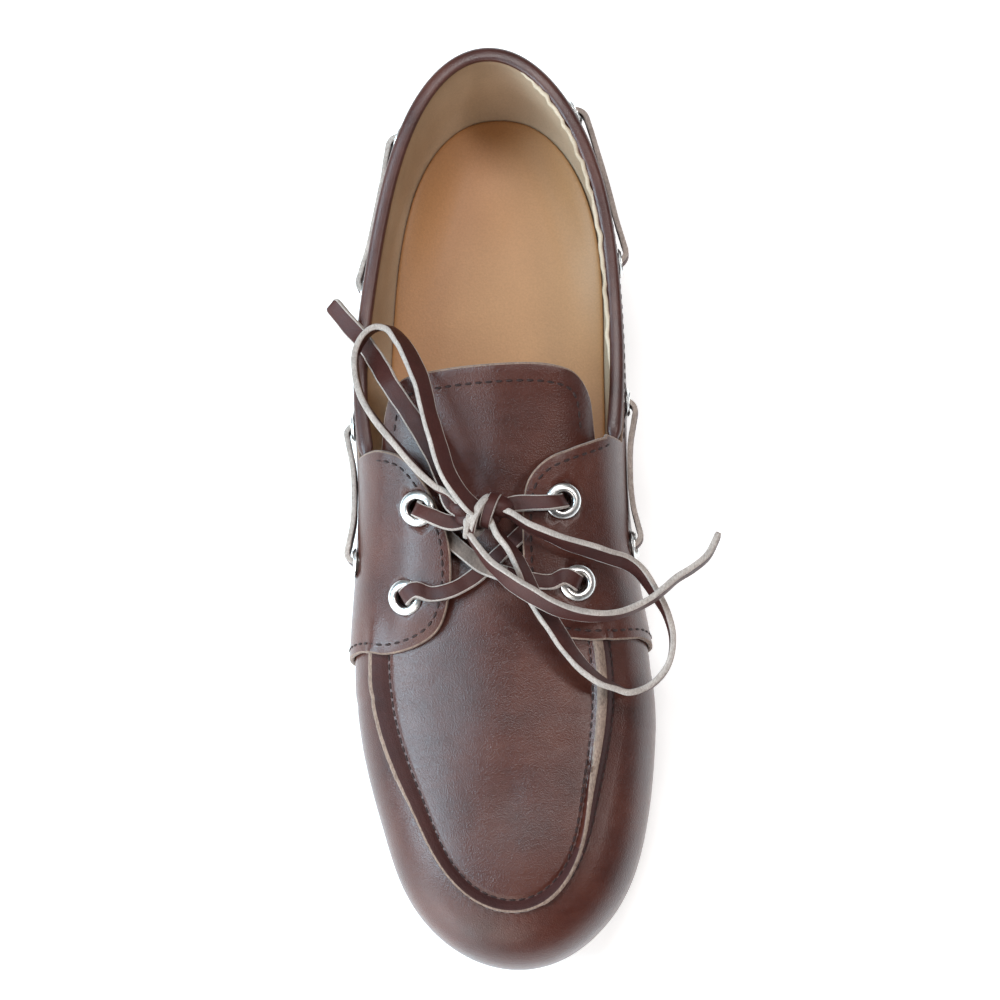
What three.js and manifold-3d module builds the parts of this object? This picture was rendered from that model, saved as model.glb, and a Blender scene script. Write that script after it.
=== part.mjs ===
// Leather boat shoe for the right foot, in millimetres.
// Toe towards -Y, heel towards +Y, the inner (medial) side towards +X, standing on z = 0.
import * as THREE from 'three';
import { mergeVertices } from 'three/addons/utils/BufferGeometryUtils.js';
import Module from 'manifold-3d';

const wasm = await Module();
wasm.setup();

// Driving sizes
const LENGTH = 255;
const BALL_WIDTH = 86;
const LAST_HEIGHT = 90;
const HEEL_SEAT = 17;
const COLLAR_HEIGHT = 68;
const FEATHER_INSET = 8;

// Wall, overlays and gaps
const GAP = 0.3;
const WALL = 1.6;
const QUARTER_THICKNESS = 1.3;
const WING_LIFT = 1.8;
const LASTING_MARGIN = 7;
const SEAM_INSET = 12;
const SEAM_WIDTH = 4.2;
const SEAM_RIDGE = 1.8;
const TONGUE_THICKNESS = 1.6;
const INSOLE_THICKNESS = 3;
const ROLL_HEIGHT = 3.4;
const ROLL_OVERHANG = 0.3;

// Sole
const ARCH_RISE = 5;
const TOE_SPRING = 5.5;
const SOLE_LIP = 1.8;
const GROOVE_DEPTH = 1.6;
const GROOVE_WIDTH = 2.2;
const TREAD_BORDER = 9;

// Laces and eyelets
const LACE_WIDTH = 4;
const LACE_THICKNESS = 1.5;
const CORD_WIDTH = 5.2;
const CORD_THICKNESS = 1.7;
const EYELET_BORE = 5.2;
const BARREL_WALL = 0.45;
const FLANGE_THICKNESS = 0.9;
const FRONT_FLANGE = 10;
const SIDE_FLANGE = 8.6;
const KNOT_SIZE = new THREE.Vector3(15, 9, 8);

// Mesh density
const AROUND = 44;
const SIDE_BANDS = 3;
const TOP_BANDS = 4;
const LOWER_ANGLES = [-90, -60, -31];
const EYELET_SIDES = 10;
const CORD_STEP = 6;
const KNOT_SIDES = 10;

// Far outside the shoe in every direction
const FAR = 120;

// A natural cubic spline through a short table, held flat beyond its ends
function spline(xs, ys) {
  const n = xs.length;
  const second = new Array(n).fill(0);
  const upper = new Array(n).fill(0);
  for (let i = 1; i < n - 1; i++) {
    const before = xs[i] - xs[i - 1];
    const after = xs[i + 1] - xs[i];
    const bend = (ys[i + 1] - ys[i]) / after - (ys[i] - ys[i - 1]) / before;
    const pivot = 2 * (before + after) - before * upper[i - 1];
    upper[i] = after / pivot;
    second[i] = (6 * bend - before * second[i - 1]) / pivot;
  }
  for (let i = n - 2; i > 0; i--) {
    second[i] -= upper[i] * second[i + 1];
  }
  return (value) => {
    const x = THREE.MathUtils.clamp(value, xs[0], xs[n - 1]);
    let i = 0;
    while (i < n - 2 && x > xs[i + 1]) i += 1;
    const h = xs[i + 1] - xs[i];
    const a = (xs[i + 1] - x) / h;
    const b = 1 - a;
    const curve = ((a ** 3 - a) * second[i] + (b ** 3 - b) * second[i + 1]) * h * h / 6;
    return a * ys[i] + b * ys[i + 1] + curve;
  };
}

// Turns rows with named columns into one curve per column, all along the first column
function table(columns, rows) {
  const along = rows.map((row) => row[0]);
  const curves = {};
  columns.slice(1).forEach((name, i) => {
    curves[name] = spline(along, rows.map((row) => row[i + 1]));
  });
  return curves;
}

// Sections of the last. at: share of the length from the toe. centre: share of the ball width.
// lateral, medial: shares of half the ball width over the round outline. bulge: height of the
// widest line and share of the last's height. feather: sole edge, share of the heel seat.
// insetLateral, insetMedial: how far the feather edge lies inside, shares of the feather inset.
// fullness: exponent of the section's round, 2 is an ellipse.
const SECTION = table(
  ['at', 'centre', 'lateral', 'medial', 'bulge', 'feather', 'insetLateral', 'insetMedial', 'fullness'],
  [
    [0.00, 0.040, 1.38, 1.38, 0.222, 0.71, 1.00, 1.00, 2.6],
    [0.06, 0.040, 1.31, 1.29, 0.222, 0.65, 1.00, 1.00, 2.6],
    [0.15, 0.034, 1.18, 1.15, 0.228, 0.55, 1.00, 1.00, 2.5],
    [0.27, 0.019, 1.10, 1.04, 0.244, 0.47, 1.00, 1.00, 2.5],
    [0.40, 0.003, 0.95, 0.86, 0.278, 0.49, 0.90, 0.90, 2.7],
    [0.52, -0.006, 0.87, 0.775, 0.322, 0.64, 0.80, 0.75, 3.2],
    [0.62, -0.006, 0.91, 0.795, 0.344, 0.77, 0.80, 0.75, 3.6],
    [0.74, -0.006, 0.93, 0.85, 0.367, 0.92, 0.85, 0.80, 3.8],
    [0.87, -0.014, 0.95, 0.95, 0.378, 1.00, 0.95, 0.90, 3.5],
    [1.00, -0.026, 1.00, 1.00, 0.378, 1.00, 1.00, 1.00, 3.0],
  ],
);

// Height of the last's spine as a share of its full height
const SPINE = table(
  ['at', 'height'],
  [
    [0.00, 0.400],
    [0.14, 0.417],
    [0.22, 0.450],
    [0.30, 0.483],
    [0.40, 0.550],
    [0.50, 0.639],
    [0.60, 0.744],
    [0.70, 0.856],
    [0.80, 0.933],
    [0.90, 0.978],
    [1.00, 1.000],
  ],
);
const SPINE_FRONT = 0.17;
const SPINE_BACK = 0.86;
const SPINE_SOFTNESS = 5;
const LOWER_FULLNESS = 1.7;

// Top edge of the collar, share of the collar height
const TOPLINE = table(
  ['at', 'height'],
  [
    [0.50, 0.750],
    [0.60, 0.750],
    [0.68, 0.757],
    [0.76, 0.794],
    [0.85, 0.882],
    [0.94, 0.970],
    [1.00, 1.000],
  ],
);

// Moccasin seam: lateral and medial are shares of the seam inset, width a share of its
// width, ridge a share of its height
const SEAM = table(
  ['at', 'lateral', 'medial', 'width', 'ridge'],
  [
    [0.00, 1.08, 1.08, 0.70, 1.0],
    [0.05, 1.02, 1.14, 0.68, 1.0],
    [0.12, 0.88, 1.12, 0.75, 1.0],
    [0.20, 0.66, 1.02, 0.88, 1.0],
    [0.27, 0.52, 0.90, 1.00, 1.0],
    [0.33, 0.48, 0.82, 1.00, 0.9],
    [0.38, 0.48, 0.80, 1.00, 0.1],
    [0.43, 0.50, 0.80, 1.00, 0.0],
    [1.00, 0.60, 0.80, 1.00, 0.0],
  ],
);

// Inner edges of the two wings in plan: across as a share of half the ball width, at as above
const WING_LATERAL = [
  [-0.92, 0.335],
  [-0.76, 0.328],
  [-0.53, 0.334],
  [-0.38, 0.351],
  [-0.305, 0.391],
  [-0.305, 0.436],
  [-0.345, 0.461],
  [-0.45, 0.498],
  [-0.62, 0.532],
  [-0.80, 0.5455],
];
const WING_MEDIAL = [
  [0.92, 0.348],
  [0.79, 0.342],
  [0.58, 0.338],
  [0.34, 0.344],
  [0.225, 0.366],
  [0.182, 0.391],
  [0.182, 0.486],
  [0.225, 0.506],
  [0.33, 0.523],
  [0.50, 0.537],
  [0.72, 0.556],
];
// Plan line on which the collar opening starts, at the two sides of the ball width
const COLLAR_FRONT_LATERAL = 0.542;
const COLLAR_FRONT_MEDIAL = 0.560;

// Throat opening under the wings and the tongue in it, same units as the wings
const THROAT = { front: 0.414, back: 0.57, left: -0.70, right: 0.58, corner: 6 };
const TONGUE = [
  [-0.42, 0.381],
  [-0.72, 0.426],
  [-0.84, 0.506],
  [-0.82, 0.556],
  [-0.76, 0.594],
  [-0.66, 0.612],
  [-0.38, 0.620],
  [0.08, 0.626],
  [0.40, 0.624],
  [0.56, 0.617],
  [0.65, 0.600],
  [0.68, 0.571],
  [0.70, 0.506],
  [0.62, 0.426],
  [0.36, 0.381],
];

// Side of the sole: height as a share of the wall, inset as a share of the feather inset
const SOLE_WALL = [
  { height: -0.25, inset: 0.46 },
  { height: 0.34, inset: 0.40 },
  { height: 0.36, inset: 0.28 },
  { height: 0.50, inset: 0.26 },
  { height: 0.53, inset: 0.38 },
  { height: 0.62, inset: 0.38 },
  { height: 0.65, inset: 0.22 },
  { height: 1.00, inset: 0.27 },
];

// Underside of the sole. arch: share of the arch rise, toe: share of the toe spring
const UNDERSIDE = [
  { at: -0.05, toe: 1.60, arch: 0 },
  { at: 0.00, toe: 1.00, arch: 0 },
  { at: 0.05, toe: 0.56, arch: 0 },
  { at: 0.10, toe: 0.24, arch: 0 },
  { at: 0.15, toe: 0.06, arch: 0 },
  { at: 0.19, toe: 0, arch: 0 },
  { at: 0.44, toe: 0, arch: 0 },
  { at: 0.48, toe: 0, arch: 0.10 },
  { at: 0.53, toe: 0, arch: 0.40 },
  { at: 0.58, toe: 0, arch: 0.75 },
  { at: 0.645, toe: 0, arch: 1.00 },
  { at: 0.660, toe: 0, arch: 0 },
  { at: 0.975, toe: 0, arch: 0 },
  { at: 1.05, toe: 0, arch: 0.60 },
];
const FOREFOOT_GROOVES = [0.225, 0.265, 0.305, 0.345, 0.385];
const HEEL_GROOVES = [0.73, 0.79, 0.85];

// Front eyelets: across as a share of half the ball width
const FRONT_EYELETS = {
  lateral_upper: { across: -0.481, at: 0.482 },
  lateral_lower: { across: -0.567, at: 0.3895 },
  medial_upper: { across: 0.404, at: 0.487 },
  medial_lower: { across: 0.482, at: 0.4015 },
};

// Side eyelets. Each stretch of side lace runs between two of them. drop: below the topline
const SIDE_LACES = {
  lateral_front: [
    { side: -1, at: 0.438, drop: 16 },
    { side: -1, at: 0.592, drop: 11 },
  ],
  lateral_rear: [
    { side: -1, at: 0.743, drop: 10 },
    { side: -1, at: 0.911, drop: 11 },
  ],
  medial_front: [
    { side: 1, at: 0.452, drop: 16 },
    { side: 1, at: 0.614, drop: 11 },
  ],
  medial_rear: [
    { side: 1, at: 0.771, drop: 10 },
    { side: 1, at: 0.934, drop: 11 },
  ],
};

// The two crossing laces between their eyelets: across, at and height above the last
const CROSSING_UNDER = {
  from: 'lateral_lower',
  to: 'medial_upper',
  middle: [
    [-0.41, 0.392, 6.4],
    [-0.285, 0.395, 6.5],
    [-0.19, 0.403, 4.3],
    [-0.08, 0.4165, 2.75],
    [0.05, 0.436, 2.4],
    [0.163, 0.453, 1.8],
    [0.28, 0.469, 1.6],
  ],
  knotEnd: [5.0, -6.3, 62.6],
};
const CROSSING_OVER = {
  from: 'medial_lower',
  to: 'lateral_upper',
  middle: [
    [0.33, 0.4025, 6.7],
    [0.19, 0.405, 6.7],
    [0.09, 0.409, 5.4],
    [-0.08, 0.4185, 4.05],
    [-0.19, 0.4315, 3.2],
    [-0.285, 0.445, 2.2],
    [-0.38, 0.461, 1.6],
  ],
  knotEnd: [-12.2, -11.2, 62.3],
};

// Lace ends and bow loops as they lie: x, y, z and lean, 0 on edge and 1 flat
const KNOT_CENTRE = new THREE.Vector3(-4, -9.5, 63.5);
const CORDS = {
  lace_loop_lateral: [
    [-12.5, -4.5, 67.8, 0.00],
    [-15.5, -3.0, 68.5, 0.00],
    [-20.0, 1.0, 69.5, 0.00],
    [-27.0, 9.5, 70.0, 0.00],
    [-33.0, 17.0, 69.5, 0.00],
    [-37.0, 24.5, 67.0, 0.00],
    [-39.0, 32.5, 64.0, 0.00],
    [-39.0, 39.0, 61.8, 0.00],
    [-37.0, 43.5, 61.0, 0.00],
    [-34.0, 46.0, 60.8, 0.10],
    [-30.0, 45.5, 61.5, 0.25],
    [-26.0, 40.5, 64.5, 0.45],
    [-22.5, 33.5, 69.0, 0.60],
    [-19.5, 25.5, 72.3, 0.60],
    [-17.5, 17.0, 73.5, 0.60],
    [-15.0, 8.5, 73.5, 0.60],
    [-12.5, 0.5, 72.5, 0.60],
    [-9.5, -4.5, 71.3, 0.60],
    [-6.5, -8.0, 70.0, 0.60],
  ],
  lace_loop_medial: [
    [4.2, -9.8, 65.0, 0.00],
    [9.5, -13.5, 65.5, 0.00],
    [15.0, -16.0, 65.0, 0.00],
    [20.0, -18.0, 64.0, 0.00],
    [25.5, -19.5, 62.5, 0.00],
    [31.0, -21.0, 60.5, 0.00],
    [35.5, -22.0, 58.0, 0.00],
    [39.0, -24.0, 55.5, 0.00],
    [43.0, -29.0, 52.0, 0.00],
    [46.5, -35.0, 48.5, 0.00],
    [48.0, -41.5, 46.0, 0.00],
    [46.5, -48.5, 45.0, 0.00],
    [41.5, -54.0, 45.0, 0.00],
    [36.0, -56.0, 46.5, 0.00],
    [32.0, -55.0, 48.5, 0.00],
    [28.0, -53.5, 50.5, 0.00],
    [23.5, -50.0, 52.5, 0.00],
    [20.0, -46.0, 54.5, 0.00],
    [15.0, -38.5, 58.0, 0.00],
    [10.5, -32.0, 60.5, 0.00],
    [8.0, -26.0, 62.5, 0.00],
    [4.5, -19.5, 64.0, 0.00],
    [1.0, -15.2, 64.5, 0.00],
  ],
  lace_end_lateral: [
    [-11.5, -6.0, 63.3, 0.90],
    [-14.0, 1.0, 64.5, 0.90],
    [-17.5, 9.0, 65.0, 0.90],
    [-22.0, 17.0, 65.5, 0.90],
    [-26.0, 23.0, 66.0, 0.90],
    [-29.5, 28.5, 66.0, 0.85],
    [-32.0, 33.5, 63.0, 0.80],
    [-35.5, 40.0, 57.5, 0.80],
    [-38.5, 45.0, 53.6, 0.80],
    [-42.5, 50.0, 52.5, 0.70],
    [-47.5, 56.5, 52.0, 0.60],
  ],
  lace_end_medial: [
    [-7.0, -15.0, 64.0, 0.00],
    [-4.0, -20.0, 64.5, 0.00],
    [-1.5, -23.5, 65.2, 0.00],
    [1.5, -26.5, 66.0, 0.00],
    [5.5, -30.0, 67.0, 0.00],
    [10.0, -33.0, 67.5, 0.00],
    [17.5, -37.0, 67.0, 0.00],
    [25.5, -38.5, 65.0, 0.00],
    [33.5, -37.5, 62.0, 0.00],
    [41.5, -33.5, 59.5, 0.00],
    [45.5, -30.5, 59.0, 0.00],
    [49.5, -27.0, 58.5, 0.00],
    [54.0, -24.0, 58.0, 0.00],
    [58.0, -20.5, 57.5, 0.00],
    [61.0, -14.5, 57.0, 0.00],
  ],
};

const half = BALL_WIDTH / 2;
const QUARTER_INNER = WALL + GAP;
const QUARTER_OUTER = QUARTER_INNER + QUARTER_THICKNESS;

function smoothstep(value, low, high) {
  return THREE.MathUtils.smoothstep(value, low, high);
}

function yOf(at) {
  return (at - 0.5) * LENGTH;
}

function spineShare(at) {
  const middle = (SPINE_FRONT + SPINE_BACK) / 2;
  const reach = (SPINE_BACK - SPINE_FRONT) / 2;
  const v = (at - middle) / reach;
  return middle + reach * v / (1 + Math.abs(v) ** SPINE_SOFTNESS) ** (1 / SPINE_SOFTNESS);
}

// One meridian of the last: from the outline point for the angle u (0 at the toe, lateral
// side first) to the spine point above it
function meridian(u) {
  const at = (1 - Math.cos(u)) / 2;
  const lateral = Math.sin(u) >= 0;
  const reach = lateral ? -SECTION.lateral(at) : SECTION.medial(at);
  const outlineX = SECTION.centre(at) * BALL_WIDTH + half * Math.abs(Math.sin(u)) * reach;
  const top = spineShare(at);
  const start = new THREE.Vector2(outlineX, yOf(at));
  const end = new THREE.Vector2(SECTION.centre(top) * BALL_WIDTH, yOf(top));
  const span = start.distanceTo(end);
  const inset = FEATHER_INSET * (lateral ? SECTION.insetLateral(at) : SECTION.insetMedial(at));
  return {
    at,
    lateral,
    start,
    end,
    span,
    inset,
    bulge: SECTION.bulge(at) * LAST_HEIGHT,
    feather: SECTION.feather(at) * HEEL_SEAT,
    crown: SPINE.height(top) * LAST_HEIGHT,
    fullness: SECTION.fullness(at),
  };
}

// Point of the last's surface. phi runs from -90 degrees at the feather edge over 0 on the
// widest line to 90 degrees on the spine.
function lastPoint(u, phi) {
  const m = meridian(u);
  const c = Math.max(Math.cos(phi), 0);
  const s = Math.abs(Math.sin(phi));
  let share;
  let z;
  if (phi >= 0) {
    share = 1 - c ** (2 / m.fullness);
    z = m.bulge + (m.crown - m.bulge) * s ** (2 / m.fullness);
  } else {
    share = m.inset / m.span * (1 - c ** (2 / LOWER_FULLNESS));
    z = m.bulge - (m.bulge - m.feather) * s ** (2 / LOWER_FULLNESS);
  }
  const plan = m.start.clone().lerp(m.end, share);
  return new THREE.Vector3(plan.x, plan.y, z);
}

function lastNormal(u, phi) {
  const step = 1e-4;
  const nearEnd = Math.PI / 2 - 1e-3;
  if (phi <= -nearEnd) return new THREE.Vector3(0, 0, -1);
  if (phi >= nearEnd) {
    const top = spineShare((1 - Math.cos(u)) / 2);
    const rise = (SPINE.height(top + step) - SPINE.height(top - step)) * LAST_HEIGHT;
    return new THREE.Vector3(0, -rise, 2 * step * LENGTH).normalize();
  }
  const up = lastPoint(u, phi + step).sub(lastPoint(u, phi - step));
  const along = lastPoint(u + step, phi).sub(lastPoint(u - step, phi));
  return up.cross(along).normalize();
}

function phiOfInset(m, inset) {
  const share = Math.min(inset / m.span, 1);
  return Math.acos((1 - share) ** (m.fullness / 2));
}

function phiOfHeight(m, z) {
  const share = THREE.MathUtils.clamp((z - m.bulge) / (m.crown - m.bulge), 0, 1);
  return Math.asin(share ** (m.fullness / 2));
}

// How far the wings stand off the plug, most at the eyelets
function wingLift(m, inset) {
  const inwards = smoothstep(inset, 0.18 * half, 0.42 * half);
  const alongFront = smoothstep(m.at, 0.325, 0.375);
  const alongBack = 1 - smoothstep(m.at, 0.53, 0.62);
  return WING_LIFT * inwards * alongFront * alongBack;
}

// The rows of one meridian: angle and height of the seam ridge above the surface there
function meridianRows(u, ridged) {
  const m = meridian(u);
  const outer = SEAM_INSET * (m.lateral ? SEAM.lateral(m.at) : SEAM.medial(m.at));
  const width = SEAM_WIDTH * SEAM.width(m.at);
  const ridge = SEAM_RIDGE * SEAM.ridge(m.at);
  const seamPhi = phiOfInset(m, outer);
  const rows = LOWER_ANGLES.map((angle) => ({ phi: THREE.MathUtils.degToRad(angle), ridge: 0 }));
  for (let i = 0; i < SIDE_BANDS; i++) {
    rows.push({ phi: seamPhi * i / SIDE_BANDS, ridge: 0 });
  }
  rows.push({ phi: seamPhi, ridge: 0 });
  if (ridged) {
    rows.push({ phi: phiOfInset(m, outer + width * 0.15), ridge });
    rows.push({ phi: phiOfInset(m, outer + width * 0.55), ridge: ridge * 0.8 });
  }
  const innerShare = (outer + width) / m.span;
  for (let i = 0; i <= TOP_BANDS; i++) {
    const share = innerShare + (1 - innerShare) * i / TOP_BANDS;
    rows.push({ phi: phiOfInset(m, share * m.span), ridge: 0 });
  }
  return rows;
}

function solidFromArrays(points, triangles) {
  const vertProperties = new Float32Array(points.flatMap((p) => [p.x, p.y, p.z]));
  const triVerts = new Uint32Array(triangles.flat());
  return new wasm.Manifold(new wasm.Mesh({ numProp: 3, vertProperties, triVerts }));
}

function solidFromGeometry(geometry) {
  const bare = geometry.clone();
  bare.deleteAttribute('normal');
  bare.deleteAttribute('uv');
  const merged = mergeVertices(bare, 1e-4);
  return new wasm.Manifold(new wasm.Mesh({
    numProp: 3,
    vertProperties: new Float32Array(merged.attributes.position.array),
    triVerts: new Uint32Array(merged.index.array),
  }));
}

// Triangles of a ladder between the two sides of a closed ring, facing down
function ladder(firstIndex) {
  const triangles = [];
  for (let k = 0; k < AROUND / 2; k++) {
    const a = firstIndex + k;
    const b = firstIndex + k + 1;
    const c = firstIndex + (AROUND - k - 1) % AROUND;
    const d = firstIndex + (AROUND - k) % AROUND;
    if (b !== c) triangles.push([a, b, c]);
    if (d !== a) triangles.push([a, c, d]);
  }
  return triangles;
}

// The closed form of the last grown by an offset, on one grid for every offset
function dome(offset, lifted = false) {
  const points = [];
  const columns = [];
  for (let i = 0; i < AROUND; i++) {
    const u = 2 * Math.PI * i / AROUND;
    const m = meridian(u);
    columns.push(meridianRows(u, offset > 0).map(({ phi, ridge }) => {
      const base = lastPoint(u, phi);
      const inset = m.start.distanceTo(new THREE.Vector2(base.x, base.y));
      const lift = lifted && phi > 0 ? wingLift(m, inset) : 0;
      return base.addScaledVector(lastNormal(u, phi), offset + ridge + lift);
    }));
  }
  const rowCount = columns[0].length;
  for (let r = 0; r < rowCount - 1; r++) {
    for (let i = 0; i < AROUND; i++) points.push(columns[i][r]);
  }
  const spineStart = points.length;
  for (let i = 0; i <= AROUND / 2; i++) points.push(columns[i][rowCount - 1]);
  const index = (r, i) => {
    const k = (i + AROUND) % AROUND;
    return r < rowCount - 1 ? r * AROUND + k : spineStart + Math.min(k, AROUND - k);
  };
  const triangles = ladder(0);
  for (let r = 0; r < rowCount - 1; r++) {
    for (let i = 0; i < AROUND; i++) {
      const a = index(r, i);
      const b = index(r, i + 1);
      const c = index(r + 1, i + 1);
      const d = index(r + 1, i);
      triangles.push([a, c, b], [a, d, c]);
    }
  }
  return solidFromArrays(points, triangles);
}

// A closed stack of rings around the last. Each level gives inset and z for a meridian.
function ringSolid(levels) {
  const points = [];
  for (const level of levels) {
    for (let i = 0; i < AROUND; i++) {
      const m = meridian(2 * Math.PI * i / AROUND);
      const plan = m.start.clone().lerp(m.end, level.inset(m) / m.span);
      points.push(new THREE.Vector3(plan.x, plan.y, level.z(m)));
    }
  }
  const triangles = ladder(0);
  for (let r = 0; r < levels.length - 1; r++) {
    for (let i = 0; i < AROUND; i++) {
      const next = (i + 1) % AROUND;
      const a = r * AROUND + i;
      const b = r * AROUND + next;
      const c = (r + 1) * AROUND + next;
      const d = (r + 1) * AROUND + i;
      triangles.push([a, c, b], [a, d, c]);
    }
  }
  for (const [a, b, c] of ladder((levels.length - 1) * AROUND)) triangles.push([a, c, b]);
  return solidFromArrays(points, triangles);
}

// Plan outline pushed up from one height to another
function planPrism(shape, from, to, curveSegments = 5) {
  const geometry = new THREE.ExtrudeGeometry(shape, { depth: to - from, bevelEnabled: false, curveSegments });
  geometry.translate(0, 0, from);
  return solidFromGeometry(geometry);
}

// Side outline, drawn as (y, z), pushed across the whole shoe
function sidePrism(shape) {
  const geometry = new THREE.ExtrudeGeometry(shape, { depth: 2 * FAR, bevelEnabled: false });
  geometry.translate(0, 0, -FAR);
  const turn = new THREE.Matrix4().makeBasis(
    new THREE.Vector3(0, 1, 0),
    new THREE.Vector3(0, 0, 1),
    new THREE.Vector3(1, 0, 0),
  );
  return solidFromGeometry(geometry.applyMatrix4(turn));
}

function planPoint([across, at]) {
  return new THREE.Vector2(across * half, yOf(at));
}

function collarFrontY(x) {
  const share = (x + half) / BALL_WIDTH;
  return yOf(THREE.MathUtils.lerp(COLLAR_FRONT_LATERAL, COLLAR_FRONT_MEDIAL, share));
}

// Everything above the topline raised by a height, behind the collar front plus a gap
function aboveTopline(raise, frontGap) {
  const side = new THREE.Shape();
  const firstAt = 0.5;
  const lastAt = 1.1;
  const steps = 12;
  side.moveTo(yOf(firstAt), FAR);
  for (let i = 0; i <= steps; i++) {
    const at = firstAt + (lastAt - firstAt) * i / steps;
    side.lineTo(yOf(at), TOPLINE.height(at) * COLLAR_HEIGHT - ROLL_HEIGHT - GAP + raise);
  }
  side.lineTo(yOf(lastAt), FAR);
  side.closePath();
  const plan = new THREE.Shape();
  plan.moveTo(-FAR, collarFrontY(-FAR) + frontGap);
  plan.lineTo(FAR, collarFrontY(FAR) + frontGap);
  plan.lineTo(FAR, 2 * FAR);
  plan.lineTo(-FAR, 2 * FAR);
  plan.closePath();
  return sidePrism(side).intersect(planPrism(plan, 0, FAR));
}

function soleTop(m) {
  return m.feather + SOLE_LIP;
}

function featherBlock(raise) {
  return ringSolid([
    { inset: () => -2 * FEATHER_INSET, z: () => -FEATHER_INSET },
    { inset: () => -2 * FEATHER_INSET, z: (m) => soleTop(m) + raise },
  ]);
}

function throatCutter() {
  const left = THROAT.left * half;
  const right = THROAT.right * half;
  const front = yOf(THROAT.front);
  const back = yOf(THROAT.back);
  const r = THROAT.corner;
  const shape = new THREE.Shape();
  shape.moveTo(left, back);
  shape.lineTo(left, front + r);
  shape.absarc(left + r, front + r, r, Math.PI, 1.5 * Math.PI);
  shape.lineTo(right - r, front);
  shape.absarc(right - r, front + r, r, 1.5 * Math.PI, 2 * Math.PI);
  shape.lineTo(right, back);
  shape.closePath();
  return planPrism(shape, HEEL_SEAT, FAR, 4);
}

function underfootCutter() {
  const inset = (m) => m.inset + LASTING_MARGIN;
  return ringSolid([
    { inset, z: () => -FEATHER_INSET },
    { inset, z: (m) => m.feather + SOLE_LIP },
  ]);
}

// Cylinder along a direction, used for holes
function hole(centre, direction, diameter, length) {
  const geometry = new THREE.CylinderGeometry(diameter / 2, diameter / 2, length, EYELET_SIDES);
  const turn = new THREE.Quaternion().setFromUnitVectors(new THREE.Vector3(0, 1, 0), direction);
  geometry.applyQuaternion(turn);
  geometry.translate(centre.x, centre.y, centre.z);
  return solidFromGeometry(geometry);
}

// Place on the top of the foot given in plan, with the surface's outward direction
function topPlace(x, at, offset, lifted = false) {
  const centre = SECTION.centre(at) * BALL_WIDTH;
  const around = Math.acos(1 - 2 * at);
  const u = x < centre ? around : 2 * Math.PI - around;
  const m = meridian(u);
  const share = (x - m.start.x) / (centre - m.start.x);
  const phi = Math.min(phiOfInset(m, share * m.span), Math.PI / 2 - 0.02);
  const normal = lastNormal(u, phi);
  const lift = lifted ? wingLift(m, share * m.span) : 0;
  return { point: lastPoint(u, phi).addScaledVector(normal, offset + lift), normal };
}

// Place on the side wall given by its height
function sidePlace(side, at, z, offset) {
  const around = Math.acos(1 - 2 * at);
  const u = side < 0 ? around : 2 * Math.PI - around;
  const phi = phiOfHeight(meridian(u), z);
  const normal = lastNormal(u, phi);
  return { point: lastPoint(u, phi).addScaledVector(normal, offset), normal };
}

function laceHeight(row) {
  return TOPLINE.height(row.at) * COLLAR_HEIGHT - row.drop;
}

function frontEyeletPlace(name) {
  const row = FRONT_EYELETS[name];
  return topPlace(row.across * half, row.at, QUARTER_OUTER, true);
}

function sideEyeletPlace(row) {
  return sidePlace(row.side, row.at, laceHeight(row), QUARTER_OUTER);
}

const barrelDiameter = EYELET_BORE + 2 * BARREL_WALL;

function frontEyeletHoles() {
  return Object.keys(FRONT_EYELETS).map((name) => {
    const { point, normal } = frontEyeletPlace(name);
    return hole(point, normal, barrelDiameter + 2 * GAP, 4 * QUARTER_THICKNESS);
  });
}

function sideEyeletHoles() {
  return Object.values(SIDE_LACES).flat().map((row) => {
    const { point, normal } = sideEyeletPlace(row);
    return hole(point, normal, barrelDiameter + 2 * GAP, 4 * QUARTER_OUTER);
  });
}

function makeUpper() {
  let solid = dome(WALL).subtract(dome(0));
  solid = solid.subtract(underfootCutter());
  solid = solid.subtract(throatCutter());
  solid = solid.subtract(aboveTopline(0, 0));
  for (const cutter of sideEyeletHoles()) solid = solid.subtract(cutter);
  return solid;
}

// A quarter with its wing: everything behind the wing's edge on one side of the back seam
function quarterPlan(side, edge) {
  const seamX = side * GAP / 2;
  const points = edge.map(planPoint);
  const shape = new THREE.Shape();
  shape.moveTo(side * FAR, points[0].y);
  shape.lineTo(points[0].x, points[0].y);
  shape.splineThru(points.slice(1));
  const last = points[points.length - 1];
  shape.lineTo(last.x, collarFrontY(last.x) + GAP);
  shape.lineTo(seamX, collarFrontY(seamX) + GAP);
  shape.lineTo(seamX, FAR + LENGTH);
  shape.lineTo(side * FAR, FAR + LENGTH);
  shape.closePath();
  return planPrism(shape, 0, FAR, 3);
}

function makeQuarter(side, edge) {
  const shell = dome(QUARTER_OUTER, true).subtract(dome(QUARTER_INNER, true));
  let solid = shell.intersect(quarterPlan(side, edge));
  solid = solid.subtract(featherBlock(GAP));
  solid = solid.subtract(aboveTopline(0, 0));
  for (const cutter of [...frontEyeletHoles(), ...sideEyeletHoles()]) solid = solid.subtract(cutter);
  return solid;
}

function makeCollarRoll() {
  const shell = dome(QUARTER_OUTER).subtract(dome(-ROLL_OVERHANG));
  const band = shell.intersect(aboveTopline(GAP, GAP));
  return band.subtract(aboveTopline(GAP + ROLL_HEIGHT, -GAP));
}

function makeTongue() {
  const shape = new THREE.Shape();
  const points = TONGUE.map(planPoint);
  shape.moveTo(points[0].x, points[0].y);
  shape.splineThru(points.slice(1));
  shape.closePath();
  const top = -ROLL_OVERHANG - GAP;
  const shell = dome(top).subtract(dome(top - TONGUE_THICKNESS));
  return shell.intersect(planPrism(shape, 0.6 * COLLAR_HEIGHT, FAR, 3));
}

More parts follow.
